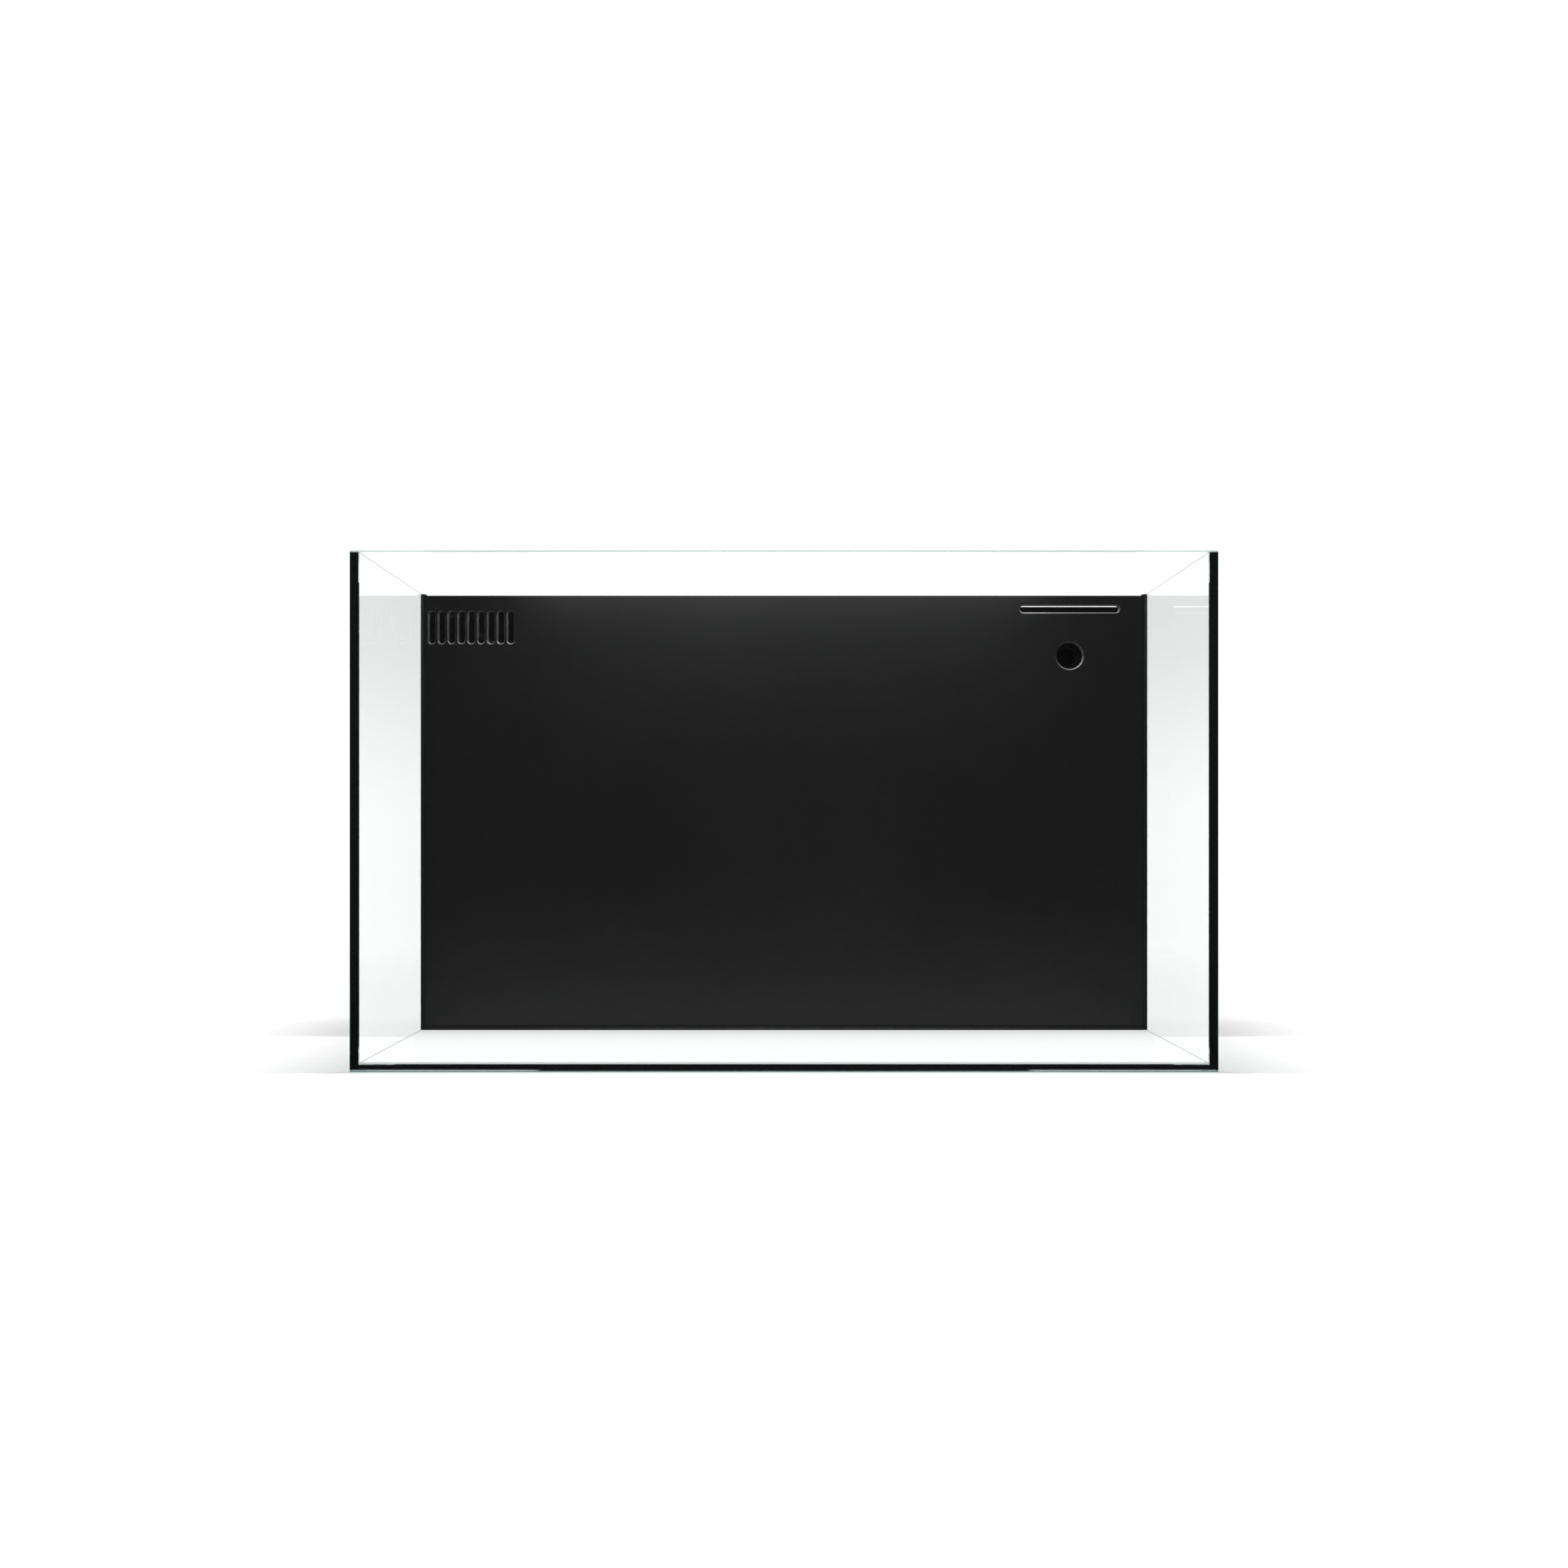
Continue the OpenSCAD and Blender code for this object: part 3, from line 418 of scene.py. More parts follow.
def acrylic(name, axis):
    """Black acrylic sheet whose faces are square to axis 0, 1 or 2: an even satin face, paler
    where it is cut, and on the small bevels round each cut. Those bevels that face up are
    paler still, a painted highlight of light from above. A bevel's normal lies between the
    face and the cut. A router's fine lines run along the cuts."""
    is_cut, is_face = 0.4, 0.95  # a cut's normal has less along the axis, and a face's more
    material, tree = new_material(name)
    where = place(tree)
    facing = split(tree, add(tree, "NewGeometry").outputs["True Normal"])
    lean = calc(tree, "ABSOLUTE", facing[axis])
    bevel = product(tree, calc(tree, "GREATER_THAN", lean, is_cut),
                    calc(tree, "LESS_THAN", lean, is_face))
    cut = calc(tree, "LESS_THAN", lean, is_cut)
    drift = noise(tree, where, 6.0, 2.0)
    fine = noise(tree, where, 1500.0, 3.0)
    sheet = blend_colour(tree, drift, (0.0066, 0.0066, 0.0067, 1.0), (0.0074, 0.0074, 0.0075, 1.0))
    # painted highlight: a bevel is paler the more it faces up, as if lit from above
    upward = ramp(tree, facing[2], 0.1, 0.6)
    edge = blend_colour(tree, upward, (0.024, 0.024, 0.0245, 1.0), (0.17, 0.17, 0.173, 1.0))
    base = blend_colour(tree, bevel, sheet, edge)
    base = blend_colour(tree, cut, base, (0.14, 0.14, 0.142, 1.0))
    lines = add(tree, "TexWave", {"bands_direction": "Y"}, Vector=where, Scale=900.0,
                Distortion=1.5).outputs["Fac"]
    height = blend(tree, cut, fine, lines)
    shader = add(tree, "BsdfPrincipled", Base_Color=base, IOR=ACRYLIC_IOR,
                 Roughness=ramp(tree, drift, MID_LOW, MID_HIGH, 0.37, 0.43),
                 Normal=bumped(tree, height, 0.000004))
    finish_material(tree, shader.outputs[0])
    return material


def clear_silicone(name):
    """A clear silicone joint: mostly let through, with a little milky haze and cloudiness."""
    material, tree = new_material(name)
    haze = noise(tree, place(tree), 120.0, 3.0)
    base = blend_colour(tree, haze, (0.62, 0.65, 0.65, 1.0), (0.72, 0.75, 0.75, 1.0))
    milk = add(tree, "BsdfPrincipled", Base_Color=base,
               Roughness=ramp(tree, haze, MID_LOW, MID_HIGH, 0.25, 0.35)).outputs[0]
    clear = add(tree, "BsdfTransparent", Color=(0.93, 0.95, 0.95, 1.0)).outputs[0]
    finish_material(tree, switch(tree, ramp(tree, haze, WIDE_LOW, WIDE_HIGH, 0.16, 0.24),
                                 clear, milk))
    return material


def brushed_steel(name, axis):
    """Stainless steel with fine lines drawn across axis 0, 1 or 2."""
    material, tree = new_material(name)
    where = place(tree)
    drawn = [product(tree, part, 6000.0 if i == axis else 250.0)
             for i, part in enumerate(split(tree, where))]
    stretched = add(tree, "CombineXYZ", i0=drawn[0], i1=drawn[1], i2=drawn[2]).outputs[0]
    lines = noise(tree, stretched, 1.0, 2.0)
    stain = noise(tree, where, 300.0, 2.0)
    base = blend_colour(tree, stain, (0.50, 0.50, 0.51, 1.0), (0.62, 0.62, 0.63, 1.0))
    shader = add(tree, "BsdfPrincipled", Base_Color=base, Metallic=1.0,
                 Roughness=ramp(tree, lines, WIDE_LOW, WIDE_HIGH, 0.22, 0.42),
                 Normal=bumped(tree, lines, 0.000006))
    finish_material(tree, shader.outputs[0])
    return material


def ring_ceramic(name):
    """Sintered filter ceramic: off-white and chalky, with open pores of about 0.6 mm that are
    darker at their bottom, a painted shade."""
    material, tree = new_material(name)
    where = place(tree)
    pores = add(tree, "TexVoronoi", Vector=where, Scale=1500.0).outputs["Distance"]
    raised = ramp(tree, pores, 0.10, 0.45)
    patches = noise(tree, where, 90.0, 3.0)
    body = blend_colour(tree, patches, (0.66, 0.60, 0.50, 1.0), (0.80, 0.76, 0.68, 1.0))
    # painted shade: each pore is darker towards its middle
    base = blend_colour(tree, raised, (0.26, 0.22, 0.17, 1.0), body)
    chalk = noise(tree, where, 900.0, 3.0)
    height = calc(tree, "ADD", product(tree, raised, 0.7), product(tree, chalk, 0.3))
    shader = add(tree, "BsdfPrincipled", Base_Color=base, Specular_IOR_Level=0.2,
                 Roughness=ramp(tree, chalk, MID_LOW, MID_HIGH, 0.85, 0.98),
                 Normal=bumped(tree, height, 0.00025))
    finish_material(tree, shader.outputs[0])
    return material


def extruded(name, colour, rough):
    """Extruded hose that stands upright: faint lines along its length and a soft sheen."""
    material, tree = new_material(name)
    where = place(tree)
    x, y, z = split(tree, where)
    drawn = add(tree, "CombineXYZ", i0=product(tree, x, 1400.0), i1=product(tree, y, 1400.0),
                i2=product(tree, z, 12.0))
    lines = noise(tree, drawn.outputs[0], 1.0, 2.0)
    bloom = noise(tree, where, 70.0, 3.0)
    shader = add(tree, "BsdfPrincipled",
                 Base_Color=blend_colour(tree, bloom, *drifted(colour, 0.8, 1.5)),
                 Roughness=ramp(tree, lines, WIDE_LOW, WIDE_HIGH, rough * 0.85, rough * 1.15),
                 Normal=bumped(tree, lines, 0.00002))
    finish_material(tree, shader.outputs[0])
    return material


def foam(name):
    """Open-cell filter foam: near black, with painted shade in its cells and paler cut strands."""
    material, tree = new_material(name)
    where = place(tree)
    cells = add(tree, "TexVoronoi", {"feature": "DISTANCE_TO_EDGE"}, Vector=where,
                Scale=620.0).outputs["Distance"]
    strand = ramp(tree, cells, 0.02, 0.16, 1.0, 0.0)
    patches = noise(tree, where, 35.0, 3.0)
    # painted shade: the cells between the strands are darker than the foam itself
    deep = blend_colour(tree, patches, (0.0030, 0.0032, 0.0036, 1.0), (0.0050, 0.0054, 0.0062, 1.0))
    skin = blend_colour(tree, patches, (0.030, 0.033, 0.038, 1.0), (0.048, 0.052, 0.060, 1.0))
    shader = add(tree, "BsdfPrincipled", Base_Color=blend_colour(tree, strand, deep, skin),
                 Roughness=ramp(tree, strand, 0.0, 1.0, 0.95, 0.62), Specular_IOR_Level=0.25,
                 Normal=bumped(tree, strand, 0.0005))
    finish_material(tree, shader.outputs[0])
    return material


def floss(name):
    """Bonded polyester wadding: white fibres in a loose tangle, with painted shade that greys it
    between the fibres and in patches between the tufts.
    """
    material, tree = new_material(name)
    where = place(tree)
    sway = add(tree, "TexNoise", Vector=where, Scale=120.0).outputs["Color"]
    bend = add(tree, "VectorMath", {"operation": "MULTIPLY_ADD"}, i0=sway,
               i1=(0.010, 0.010, 0.010), i2=where).outputs[0]
    first = add(tree, "TexWave", {"bands_direction": "DIAGONAL"}, Vector=bend, Scale=260.0,
                Distortion=14.0, Detail=3.0, Detail_Scale=2.5).outputs["Fac"]
    second = add(tree, "TexWave", {"bands_direction": "X"}, Vector=bend, Scale=330.0,
                 Distortion=18.0, Detail=3.0, Detail_Scale=3.0).outputs["Fac"]
    fibre = product(tree, calc(tree, "ADD", first, second), 0.5)
    tufts = noise(tree, where, 70.0, 3.0)
    # painted shade: grey where no fibre lies on top, and greyer in patches between the tufts
    body = blend_colour(tree, tufts, (0.60, 0.62, 0.63, 1.0), (0.80, 0.81, 0.82, 1.0))
    base = blend_colour(tree, ramp(tree, fibre, 0.35, 0.8), body, (0.90, 0.91, 0.92, 1.0))
    shader = add(tree, "BsdfPrincipled", Base_Color=base, Specular_IOR_Level=0.2,
                 Sheen_Weight=0.35, Sheen_Roughness=0.5,
                 Roughness=ramp(tree, fibre, WIDE_LOW, WIDE_HIGH, 0.95, 0.8),
                 Normal=bumped(tree, fibre, 0.0006))
    finish_material(tree, shader.outputs[0])
    return material


NET_PITCH = 0.0034  # across a mesh of the carbon bag's net
STRAND_IN, STRAND_OUT = 0.10, 0.17  # a strand's full and outer half width, in pitches
FLAT_TOP = 0.75  # the bag's top and bottom are where its normal's Z part is over this


def netted_carbon(name):
    """A bag of carbon grains: charcoal in a net of pale nylon strands, whose two sets of
    strands cross on the slant on every side of the bag."""
    material, tree = new_material(name)
    where = place(tree)
    x, y, z = split(tree, where)
    facing = split(tree, add(tree, "NewGeometry").outputs["Normal"])
    upward = calc(tree, "GREATER_THAN", calc(tree, "ABSOLUTE", facing[2]), FLAT_TOP)
    both = calc(tree, "ADD", x, y)
    rise = blend(tree, upward, z, calc(tree, "SUBTRACT", x, y))
    strands = []
    for sign in (1.0, -1.0):
        slant = product(tree, calc(tree, "MULTIPLY_ADD", rise, sign, both), 1.0 / NET_PITCH)
        off = calc(tree, "ABSOLUTE", calc(tree, "SUBTRACT", calc(tree, "FRACT", slant), 0.5))
        strands.append(ramp(tree, off, STRAND_IN, STRAND_OUT, 1.0, 0.0))
    net = either(tree, *strands)
    grain = noise(tree, where, 900.0, 3.0)
    coal = blend_colour(tree, grain, (0.006, 0.006, 0.006, 1.0), (0.030, 0.030, 0.031, 1.0))
    base = blend_colour(tree, net, coal, (0.62, 0.63, 0.62, 1.0))
    height = calc(tree, "ADD", net, product(tree, grain, 0.3))
    shader = add(tree, "BsdfPrincipled", Base_Color=base,
                 Roughness=ramp(tree, net, 0.0, 1.0, 0.72, 0.45),
                 Normal=bumped(tree, height, 0.0003))
    finish_material(tree, shader.outputs[0])
    return material


black_silicone = plastic("black_silicone", (0.0055, 0.0055, 0.006), rough=0.46, grain=0.003,
                         depth=0.00004, specular=0.28)

paint(["front_pane"], glass("glass_front", 1))
paint(["rear_pane"], glass("glass_rear", 1, mirror=0.3))
paint(["left_pane", "right_pane"], glass("glass_sides", 0, mirror=0.5, green=0.25))
paint(["bottom_pane"], glass("glass_floor", 2, mirror=0.05, green=0.25))
paint(["false_wall"], acrylic("acrylic", 1))
paint(["intake_baffle", "weir_baffle", "return_baffle"], acrylic("baffle_acrylic", 0))
paint(["sponge_guides"],
      plastic("rail_plastic", (0.007, 0.007, 0.0072), rough=0.40, grain=0.0004, depth=0.00001,
              specular=0.4))
paint(["front_seam", "rear_seam", "wall_bead", "intake_baffle_bead", "weir_baffle_bead",
       "return_baffle_bead"], black_silicone)
paint(["left_seam", "right_seam"], clear_silicone("clear_silicone"))
paint(["rear_film", "left_film", "right_film"],
      plastic("vinyl_film", (0.0020, 0.0020, 0.0021), rough=0.34, grain=0.0012, depth=0.000012,
              spread=0.08, specular=0.16))
paint(["basket_body", "basket_bail", "shelf_lower", "shelf_upper"],
      plastic("basket_plastic", (0.006, 0.006, 0.0063), rough=0.46, grain=0.0004,
              depth=0.00002, specular=0.3, speckle=0.8))
paint(["pump_motor", "pump_volute", "pump_strainer", "outlet_tail", "return_elbow"],
      plastic("pump_plastic", (0.006, 0.006, 0.0063), rough=0.38, grain=0.0003,
              depth=0.000018, specular=0.35, speckle=0.7))
paint(["suction_cups", "shaft_bushes", "cable_gland"],
      plastic("rubber", (0.012, 0.012, 0.012), rough=0.62, grain=0.0008, depth=0.00002,
              speckle=1.0))
paint(["return_hose"], extruded("hose", (0.014, 0.014, 0.015), rough=0.42))
paint(["flow_dial"],
      plastic("dial_plastic", (0.025, 0.10, 0.27), rough=0.36, grain=0.0004, depth=0.000015))
paint(["impeller"],
      plastic("impeller_plastic", (0.66, 0.66, 0.63), rough=0.34, grain=0.0005, depth=0.00001,
              spread=0.06))
paint(["rotor_magnet"],
      plastic("ferrite", (0.045, 0.045, 0.047), rough=0.48, grain=0.0003, depth=0.00002,
              speckle=1.5))
paint(["impeller_shaft"],
      plastic("shaft_ceramic", (0.80, 0.79, 0.75), rough=0.22, grain=0.0003, depth=0.000004,
              spread=0.04))
paint(["ceramic_rings"], ring_ceramic("ring_ceramic"))
paint(["volute_screws"], brushed_steel("screw_steel", 1))
paint(["hose_clips"], brushed_steel("clip_steel", 2))


# ---------------------------------------------------------------- tooled silicone

def corners(node):
    """A CAD node's lowest and highest corners as arrays."""
    low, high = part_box(node)
    return np.array(low), np.array(high)


BOND = 0.0005  # silicone between a sheet's edge and the glass
WALL_LEG, BAFFLE_LEG = 0.0028, 0.0025  # how far a fillet reaches along the sheet
WALL_STEPS, BAFFLE_STEPS = 9, 8  # points on each fillet's curve
TALL_WAVER, FLOOR_WAVER = 0.0004, 0.0003  # of the upright joints, and of those on the floor
SHARP = 40  # degrees from which a joint's edge stays sharp
X, Y, Z = np.eye(3)


def tooled_wall_joint():
    """The silicone round the back wall: up both side panes, and along the floor in front."""
    low, high = corners("wall_bead")
    wall_low, wall_high = corners("false_wall")
    thick, middle = wall_high[1] - wall_low[1], (wall_low[1] + wall_high[1]) / 2
    section = sealed_edge(thick, WALL_LEG, BOND, WALL_STEPS)
    foot = sealed_corner(thick, WALL_LEG, BOND, WALL_STEPS)
    tall, wide = high[2] - low[2], high[0] - low[0]
    runs = [swept(section, (low[0], middle, low[2]), Y, X, Z, tall, 240, TALL_WAVER),
            swept(section, (high[0], middle, low[2]), Y, -X, Z, tall, 240, TALL_WAVER),
            swept(foot, (low[0], wall_low[1], low[2]), -Y, Z, X, wide, 360, FLOOR_WAVER)]
    joint = shell("wall_joint", runs, SHARP)
    joint.data.materials.append(black_silicone)
    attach(joint, "tank")
    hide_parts("wall_bead")


def tooled_baffle_joint(name, node, sheet, foot):
    """The silicone down both edges of one baffle, and under it where it stands on the floor."""
    low, high = corners(node)
    sheet_low, sheet_high = corners(sheet)
    thick, middle = sheet_high[0] - sheet_low[0], (sheet_low[0] + sheet_high[0]) / 2
    section = sealed_edge(thick, BAFFLE_LEG, BOND, BAFFLE_STEPS)
    tall, wide = high[2] - low[2], high[1] - low[1]
    runs = [swept(section, (middle, low[1], low[2]), X, Y, Z, tall, 200, TALL_WAVER),
            swept(section, (middle, high[1], low[2]), X, -Y, Z, tall, 200, TALL_WAVER)]
    if foot:
        runs.append(swept(section, (middle, low[1], low[2]), X, Z, Y, wide, 60, FLOOR_WAVER))
    joint = shell(name, runs, SHARP)
    joint.data.materials.append(black_silicone)
    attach(joint, "tank")
    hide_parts(node)


tooled_wall_joint()
tooled_baffle_joint("intake_joint", "intake_baffle_bead", "intake_baffle", False)
tooled_baffle_joint("weir_joint", "weir_baffle_bead", "weir_baffle", True)
tooled_baffle_joint("return_joint", "return_baffle_bead", "return_baffle", True)


# ---------------------------------------------------------------- filter media

def filter_foam():
    """A cut block of coarse foam. Its faces sag a little, and are pitted by open cells:
    a point lies deeper, by up to pit_depth, the nearer it is to the middle of a cell."""
    pit_depth, slack_depth, cell, between = 0.0013, 0.0011, 0.0034, 0.62
    low, high = corners("filter_sponge")
    rings = soft_block(low, high, plan=16.0, side=34.0, around=250, rows=330)
    out = normals(rings)
    pit = 1.0 - np.clip(grains(rings, cell, 11) / between, 0.0, 1.0)
    slack = slack_depth * cloud(rings, 0.045, 12)
    rings = rings - out * (pit_depth * pit ** 1.4 + slack)[..., None]
    block = shell("foam_block", [rings])
    block.data.materials.append(foam("foam"))
    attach(block, "sponge")
    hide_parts("filter_sponge")


def floss_wad():
    """A cut square of wadding: rounded where the knife let it spring back, tufted by two
    sizes of smooth noise, and ridged round its sides where its layers end."""
    coarse_depth, fine_depth, ridge_depth, layer_thick = 0.0022, 0.0009, 0.0006, 0.0075
    low, high = corners("floss_pad")
    rings = soft_block(low, high, plan=9.0, side=6.0, around=200, rows=150)
    out = normals(rings)
    tuft = coarse_depth * cloud(rings, 0.011, 21) + fine_depth * cloud(rings, 0.0035, 22)
    phase = 2 * np.pi * (rings[..., 2] - low[2]) / layer_thick + 3.0 * cloud(rings, 0.03, 23)
    layer = ridge_depth * (1.0 + np.sin(phase))
    upright = 1.0 - np.abs(out[..., 2])
    rings = rings - out * (tuft + layer * upright)[..., None]
    pad = shell("floss_wad", [rings])
    pad.data.materials.append(floss("floss"))
    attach(pad, "basket")
    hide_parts("floss_pad")


def points_of(mesh):
    """A mesh's points as an array."""
    flat = np.empty(len(mesh.vertices) * 3)
    mesh.vertices.foreach_get("co", flat)
    return flat.reshape(-1, 3)


def normals_of(mesh):
    """The normals at a mesh's points as an array."""
    flat = np.empty(len(mesh.vertices) * 3)
    mesh.vertex_normals.foreach_get("vector", flat)
    return flat.reshape(-1, 3)


def settled(piece):
    """A new mesh of a piece as its modifiers leave it."""
    return bpy.data.meshes.new_from_object(
        piece.evaluated_get(bpy.context.evaluated_depsgraph_get()))


def swell(piece, voxel, pressure, frames, cap):
    """Blows a closed shell up as cloth: it is remeshed in voxels, held by the cloth's own
    stretch, and no point may move further than cap metres."""
    scene = bpy.context.scene
    remesh = piece.modifiers.new("remesh", "REMESH")
    remesh.mode, remesh.voxel_size = "VOXEL", voxel
    scene.frame_set(1)
    mesh = settled(piece)
    piece.modifiers.clear()
    piece.data = mesh
    before = points_of(mesh)
    cloth = piece.modifiers.new("cloth", "CLOTH")
    cloth.settings.use_pressure = True
    cloth.settings.uniform_pressure_force = pressure
    cloth.settings.effector_weights.gravity = 0.0
    cloth.settings.quality = 6
    cloth.point_cache.frame_start, cloth.point_cache.frame_end = 1, frames
    for frame_number in range(1, frames + 1):
        scene.frame_set(frame_number)
    after = points_of(settled(piece))
    piece.modifiers.clear()
    scene.frame_set(1)
    step = after - before
    moved = np.maximum(np.linalg.norm(step, axis=1, keepdims=True), TINY)
    after = before + step * np.minimum(1.0, cap / moved)
    mesh.vertices.foreach_set("co", after.ravel())
    mesh.update()


def refined(piece, levels):
    """Subdivides a piece's mesh for good."""
    finer = piece.modifiers.new("finer", "SUBSURF")
    finer.levels = finer.render_levels = levels
    mesh = settled(piece)
    piece.modifiers.clear()
    piece.data = mesh


def carbon_pouch():
    """A net pouch packed with carbon. The pouch swells between its corners, a sewn seam
    pinches it round the middle, and grains of about 4 mm stand out under the net."""
    slack, inside = 0.0035, 0.0002  # room to swell into, and left round the outside
    crease_wide, crease_deep = 0.0022, 0.0016  # where the seam pulls in before it swells
    seam_wide, seam_deep = 0.0015, 0.0012  # and after
    grain, between, grain_deep = 0.0042, 0.6, 0.0011
    low, high = corners("carbon_bag")
    waist = (low[2] + high[2]) / 2
    rings = soft_block(low + slack, high - slack, plan=5.0, side=4.0, around=120, rows=90)
    height = (rings[..., 2] - waist) / crease_wide
    rings = rings - normals(rings) * (crease_deep * np.exp(-height ** 2))[..., None]
    pouch = shell("carbon_pouch", [rings])
    swell(pouch, voxel=0.0035, pressure=4.0, frames=20, cap=0.005)
    refined(pouch, 2)
    mesh = pouch.data
    places = points_of(mesh)
    lump = np.clip(grains(places, grain, 31) / between, 0.0, 1.0)
    seam = (places[:, 2] - waist) / seam_wide
    pull = grain_deep * lump ** 2 + seam_deep * np.exp(-seam ** 2)
    places = places - normals_of(mesh) * pull[:, None]
    places = np.clip(places, low + inside, high - inside)
    mesh.vertices.foreach_set("co", places.ravel())
    mesh.shade_smooth()
    mesh.update()
    mesh.materials.clear()
    mesh.materials.append(netted_carbon("netted_carbon"))
    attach(pouch, "basket")
    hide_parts("carbon_bag")


filter_foam()
floss_wad()
carbon_pouch()


# ---------------------------------------------------------------- studio

MIRRORED_BACK, MIRRORED_TOP, MIRRORED_SIDE = 1.15, 0.9, 0.16  # surround, in mirrored rays
GLAZED_RISE = 0.11  # how far a sight line through glass climbs to the dimmer surround


def studio_world(lit, open_white, behind_glass, behind_glass_top, ahead):
    """Even soft light from all round, in front of a white surround that is brighter low down,
    where it is seen through glass. A mirrored ray sees the surround white behind the tank,
    paler overhead, and dark on the camera's side, where black cloth hangs."""
    world = bpy.data.worlds.new("studio")
    bpy.context.scene.world = world
    world.use_nodes = True
    tree = world.node_tree
    tree.nodes.clear()
    out = tree.nodes.new("ShaderNodeOutputWorld")
    x, y, z = split(tree, add(tree, "TexCoord").outputs["Generated"])
    path = add(tree, "LightPath").outputs
    back = ramp(tree, y, 0.30, 0.80, 0.0, MIRRORED_BACK)
    above = ramp(tree, z, 0.30, 0.95, ahead, MIRRORED_TOP)
    side = ramp(tree, calc(tree, "ABSOLUTE", x), 0.75, 1.0, 0.0, MIRRORED_SIDE)
    level = blend(tree, path["Is Glossy Ray"], lit, either(tree, back, above, side))
    glazed = ramp(tree, z, 0.0, GLAZED_RISE, behind_glass, behind_glass_top)
    level = blend(tree, path["Is Transmission Ray"], level, glazed)
    level = blend(tree, path["Is Camera Ray"], level, open_white)
    light = add(tree, "Background", Color=WHITE, Strength=level)
    tree.links.new(light.outputs[0], out.inputs["Surface"])


FLOOR_Z = -0.0004  # just under the tank
SHADE_REACH = 0.14  # how far from the tank its painted shade ends
SHADE_NEAR, SHADE_FAR = 0.58, 0.95  # the floor's level in the painted shade beside the tank, and where that shade ends
PAPER_SEEN, PAPER_LIT = 1.30, 0.40  # the floor as it is seen, and as it lights the tank
PAPER_GRAIN = 0.015  # how far the paper's tone drifts
FLOOR_WHITE = 1.15  # the painted glow of the floor under the tank, so that it is white through two panes
FLOOR_GLAZED = 1.36  # the painted glow of the floor round the tank, through glass
WALL_SHADE = 0.055  # how far the painted shade at the foot of the back wall reaches before it falls to a third
WALL_DARK = 0.335  # how much darker the painted shade makes the floor at the foot of the wall
BAY_LEVEL = 0.05  # the floor under the rear bay, painted dark as the bay's shade
MIRROR_AHEAD, MIRROR_BACK = 0.015, 0.5  # the floor's painted glow in mirrored rays, ahead and further back
MIRROR_UNDER = 0.8  # the same under the tank, as a share of what is seen through the glass


def disc(radius, rings, spokes):
    """A flat round mesh on rings and spokes: the point at ring r and spoke a is
    (r cos a, r sin a), and the rings lie closer together towards the middle."""
    r = radius * np.linspace(0.0, 1.0, rings + 1)[1:] ** 1.5
    a = np.linspace(0.0, 2 * np.pi, spokes, endpoint=False)
    rr, aa = np.meshgrid(r, a, indexing="ij")
    points = np.stack([rr * np.cos(aa), rr * np.sin(aa), np.full_like(rr, FLOOR_Z)], -1)
    points = np.vstack([[[0.0, 0.0, FLOOR_Z]], points.reshape(-1, 3)])
    k = np.arange(spokes)
    after = (k + 1) % spokes
    hub = np.stack([np.zeros(spokes, int), 1 + k, 1 + after], 1).tolist()
    row = 1 + np.arange(rings - 1)[:, None] * spokes
    quads = np.stack([row + k, row + k + spokes, row + after + spokes, row + after], -1)
    mesh = bpy.data.meshes.new("studio_floor")
    mesh.from_pydata(points.tolist(), [], hub + quads.reshape(-1, 4).tolist())
    return mesh


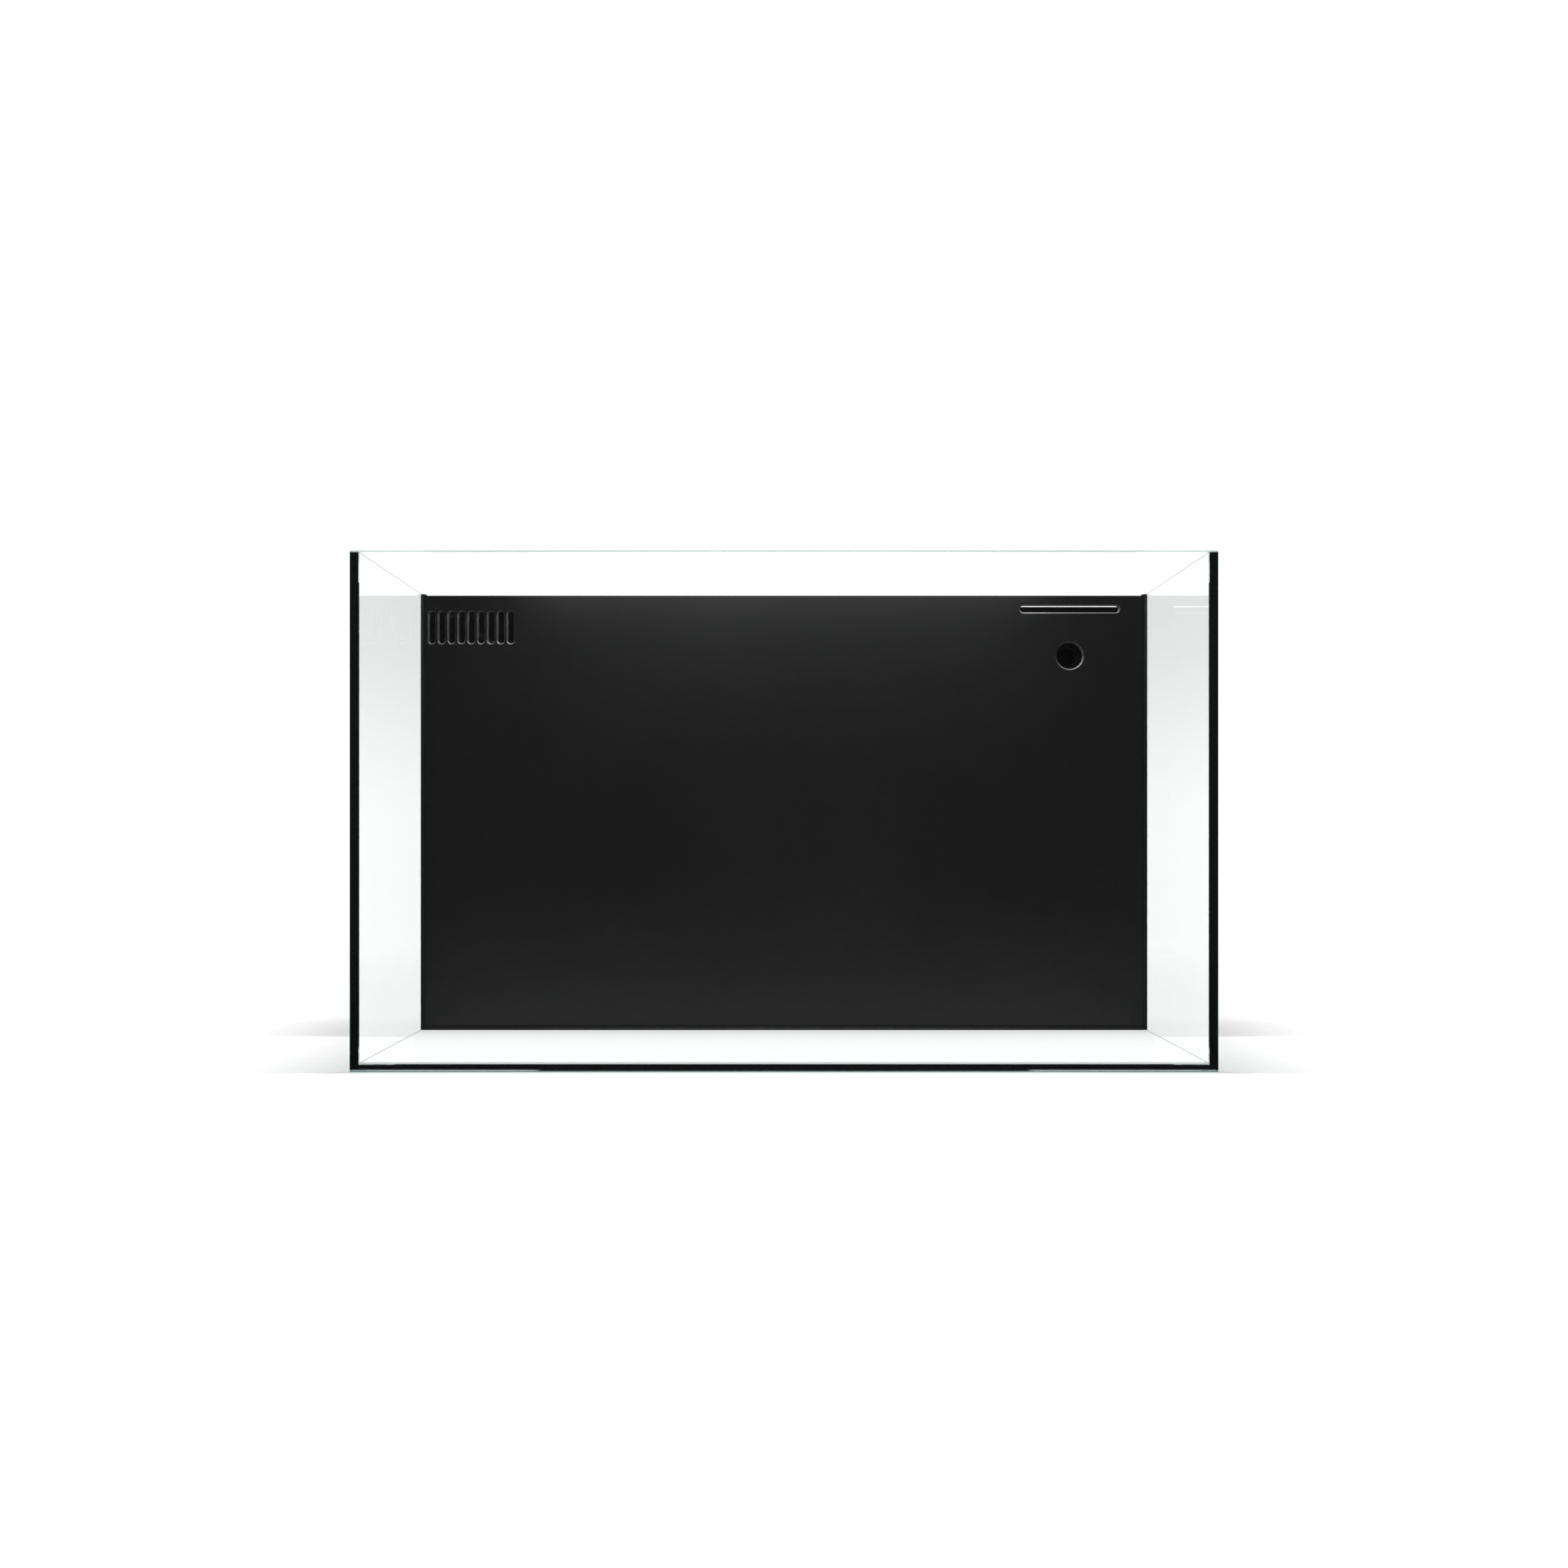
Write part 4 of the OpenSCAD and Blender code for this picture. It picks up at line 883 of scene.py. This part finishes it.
def studio_floor(radius, fade_from):
    """A round white floor just under the tank. It fades out towards its edge into the white
    surround, and is darker for a few centimetres round the tank, by painted shade.
    Sight lines, light that it scatters on, sight through glass and mirrored rays each find
    a level of their own; through glass and in mirrored rays it glows at set levels, which is
    painted light, with painted shade at the foot of the back wall and under the rear bay."""
    mesh = disc(radius, rings=24, spokes=96)
    floor = bpy.data.objects.new("studio_floor", mesh)
    bpy.context.scene.collection.objects.link(floor)
    material, tree = new_material("studio_floor")
    where = place(tree)
    x, y, _ = split(tree, where)
    path = add(tree, "LightPath").outputs
    fade = ramp(tree, reach(tree, x, y), fade_from, radius * 0.98)
    beside = either(tree, calc(tree, "SUBTRACT", calc(tree, "ABSOLUTE", x), HALF_W), 0.0)
    beyond = either(tree, calc(tree, "SUBTRACT", calc(tree, "ABSOLUTE", y), REAR_Y), 0.0)
    gap = reach(tree, beside, beyond)
    under = calc(tree, "LESS_THAN", gap, 0.001)
    # painted shade round the tank, none ahead of its front
    level = ramp(tree, gap, 0.0, SHADE_REACH, SHADE_NEAR, SHADE_FAR, smooth=False)
    ahead = ramp(tree, y, FRONT_Y - 0.015, FRONT_Y + 0.01, 1.0, 0.0)
    shade = either(tree, level, ahead)

    grain = noise(tree, where, 40.0, 3.0)
    tone = product(tree, shade, ramp(tree, grain, 0.0, 1.0, 1 - PAPER_GRAIN, 1 + PAPER_GRAIN))
    paper, dim = (add(tree, "BsdfDiffuse", Color=greyed(tree, product(tree, tone, share)))
                  .outputs[0] for share in (PAPER_SEEN, PAPER_LIT))

    # painted shade at the foot of the back wall and under the rear bay, in the glow seen through
    # glass
    fall = calc(tree, "EXPONENT",
                calc(tree, "DIVIDE", calc(tree, "SUBTRACT", y, WALL_Y), WALL_SHADE))
    inside = calc(tree, "MULTIPLY_ADD", fall, -WALL_DARK * FLOOR_WHITE, FLOOR_WHITE)
    inside = blend(tree, calc(tree, "GREATER_THAN", y, WALL_Y), inside, BAY_LEVEL)
    outside = product(tree, ramp(tree, shade, SHADE_NEAR, SHADE_FAR, 0.93, 1.0), FLOOR_GLAZED)
    through = blend(tree, under, outside, inside)
    glazed = add(tree, "Emission", Color=WHITE, Strength=through).outputs[0]
    mirrored = blend(tree, under,
                     ramp(tree, y, FRONT_Y - 0.02, FRONT_Y + 0.10, MIRROR_AHEAD, MIRROR_BACK),
                     product(tree, inside, MIRROR_UNDER))
    flagged = add(tree, "Emission", Color=WHITE, Strength=mirrored).outputs[0]
    surface = switch(tree, path["Is Camera Ray"], dim, paper)
    surface = switch(tree, path["Is Glossy Ray"], surface, flagged)
    surface = switch(tree, path["Is Transmission Ray"], surface, glazed)
    clear = add(tree, "BsdfTransparent").outputs[0]
    finish_material(tree, switch(tree, fade, surface, clear))
    mesh.materials.append(material)


def soft_lamp(name, at, aim, width, height, watts, glossy=True):
    """A rectangular soft lamp that faces a point and isn't seen itself."""
    data = bpy.data.lights.new(name, "AREA")
    data.shape = "RECTANGLE"
    data.size, data.size_y = width, height
    data.energy = watts
    lamp = bpy.data.objects.new(name, data)
    bpy.context.scene.collection.objects.link(lamp)
    lamp.location = at
    away = np.array(at, float) - np.array(aim, float)
    away /= np.linalg.norm(away)
    turn = math.atan2(away[1], away[0]) + math.pi / 2
    lamp.rotation_euler = (math.acos(away[2]), 0.0, turn)
    lamp.visible_camera = lamp.visible_transmission = False
    lamp.visible_glossy = glossy


def glow_lamp(name, at, radius, watts):
    """A small round lamp, over the tank, that picks out bevels and isn't seen itself."""
    data = bpy.data.lights.new(name, "POINT")
    data.energy, data.shadow_soft_size = watts, radius
    lamp = bpy.data.objects.new(name, data)
    bpy.context.scene.collection.objects.link(lamp)
    lamp.location = at
    lamp.visible_camera = lamp.visible_transmission = lamp.visible_glossy = False


def studio_camera(at, lens, shift):
    """A level camera that looks along +Y, with a full frame and its view shifted up."""
    data = bpy.data.cameras.new("camera")
    data.sensor_width = 36.0
    data.lens = lens
    data.shift_y = shift
    camera = bpy.data.objects.new("camera", data)
    bpy.context.scene.collection.objects.link(camera)
    camera.location = at
    camera.rotation_euler = (math.pi / 2, 0.0, 0.0)
    bpy.context.scene.camera = camera


studio_world(lit=0.9, open_white=1.25, behind_glass=1.45, behind_glass_top=1.15, ahead=0.03)
studio_floor(radius=1.8, fade_from=0.55)
soft_lamp("rim_lamp", at=(0.0, 0.065, 0.385), aim=(0.0, 0.0651, 0.0), width=0.42, height=0.02,
          watts=0.35)
soft_lamp("fill_lamp", at=(0.0, -0.10, 0.36), aim=(0.0, 0.086, 0.18), width=0.25, height=0.10,
          watts=0.2, glossy=False)
glow_lamp("bead_lamp", at=(0.0, 0.070, 0.460), radius=0.012, watts=3.0)
studio_camera(at=(0.0, -1.6732, 0.1625), lens=49.67, shift=0.0334)
bpy.context.scene.view_settings.view_transform = "Standard"
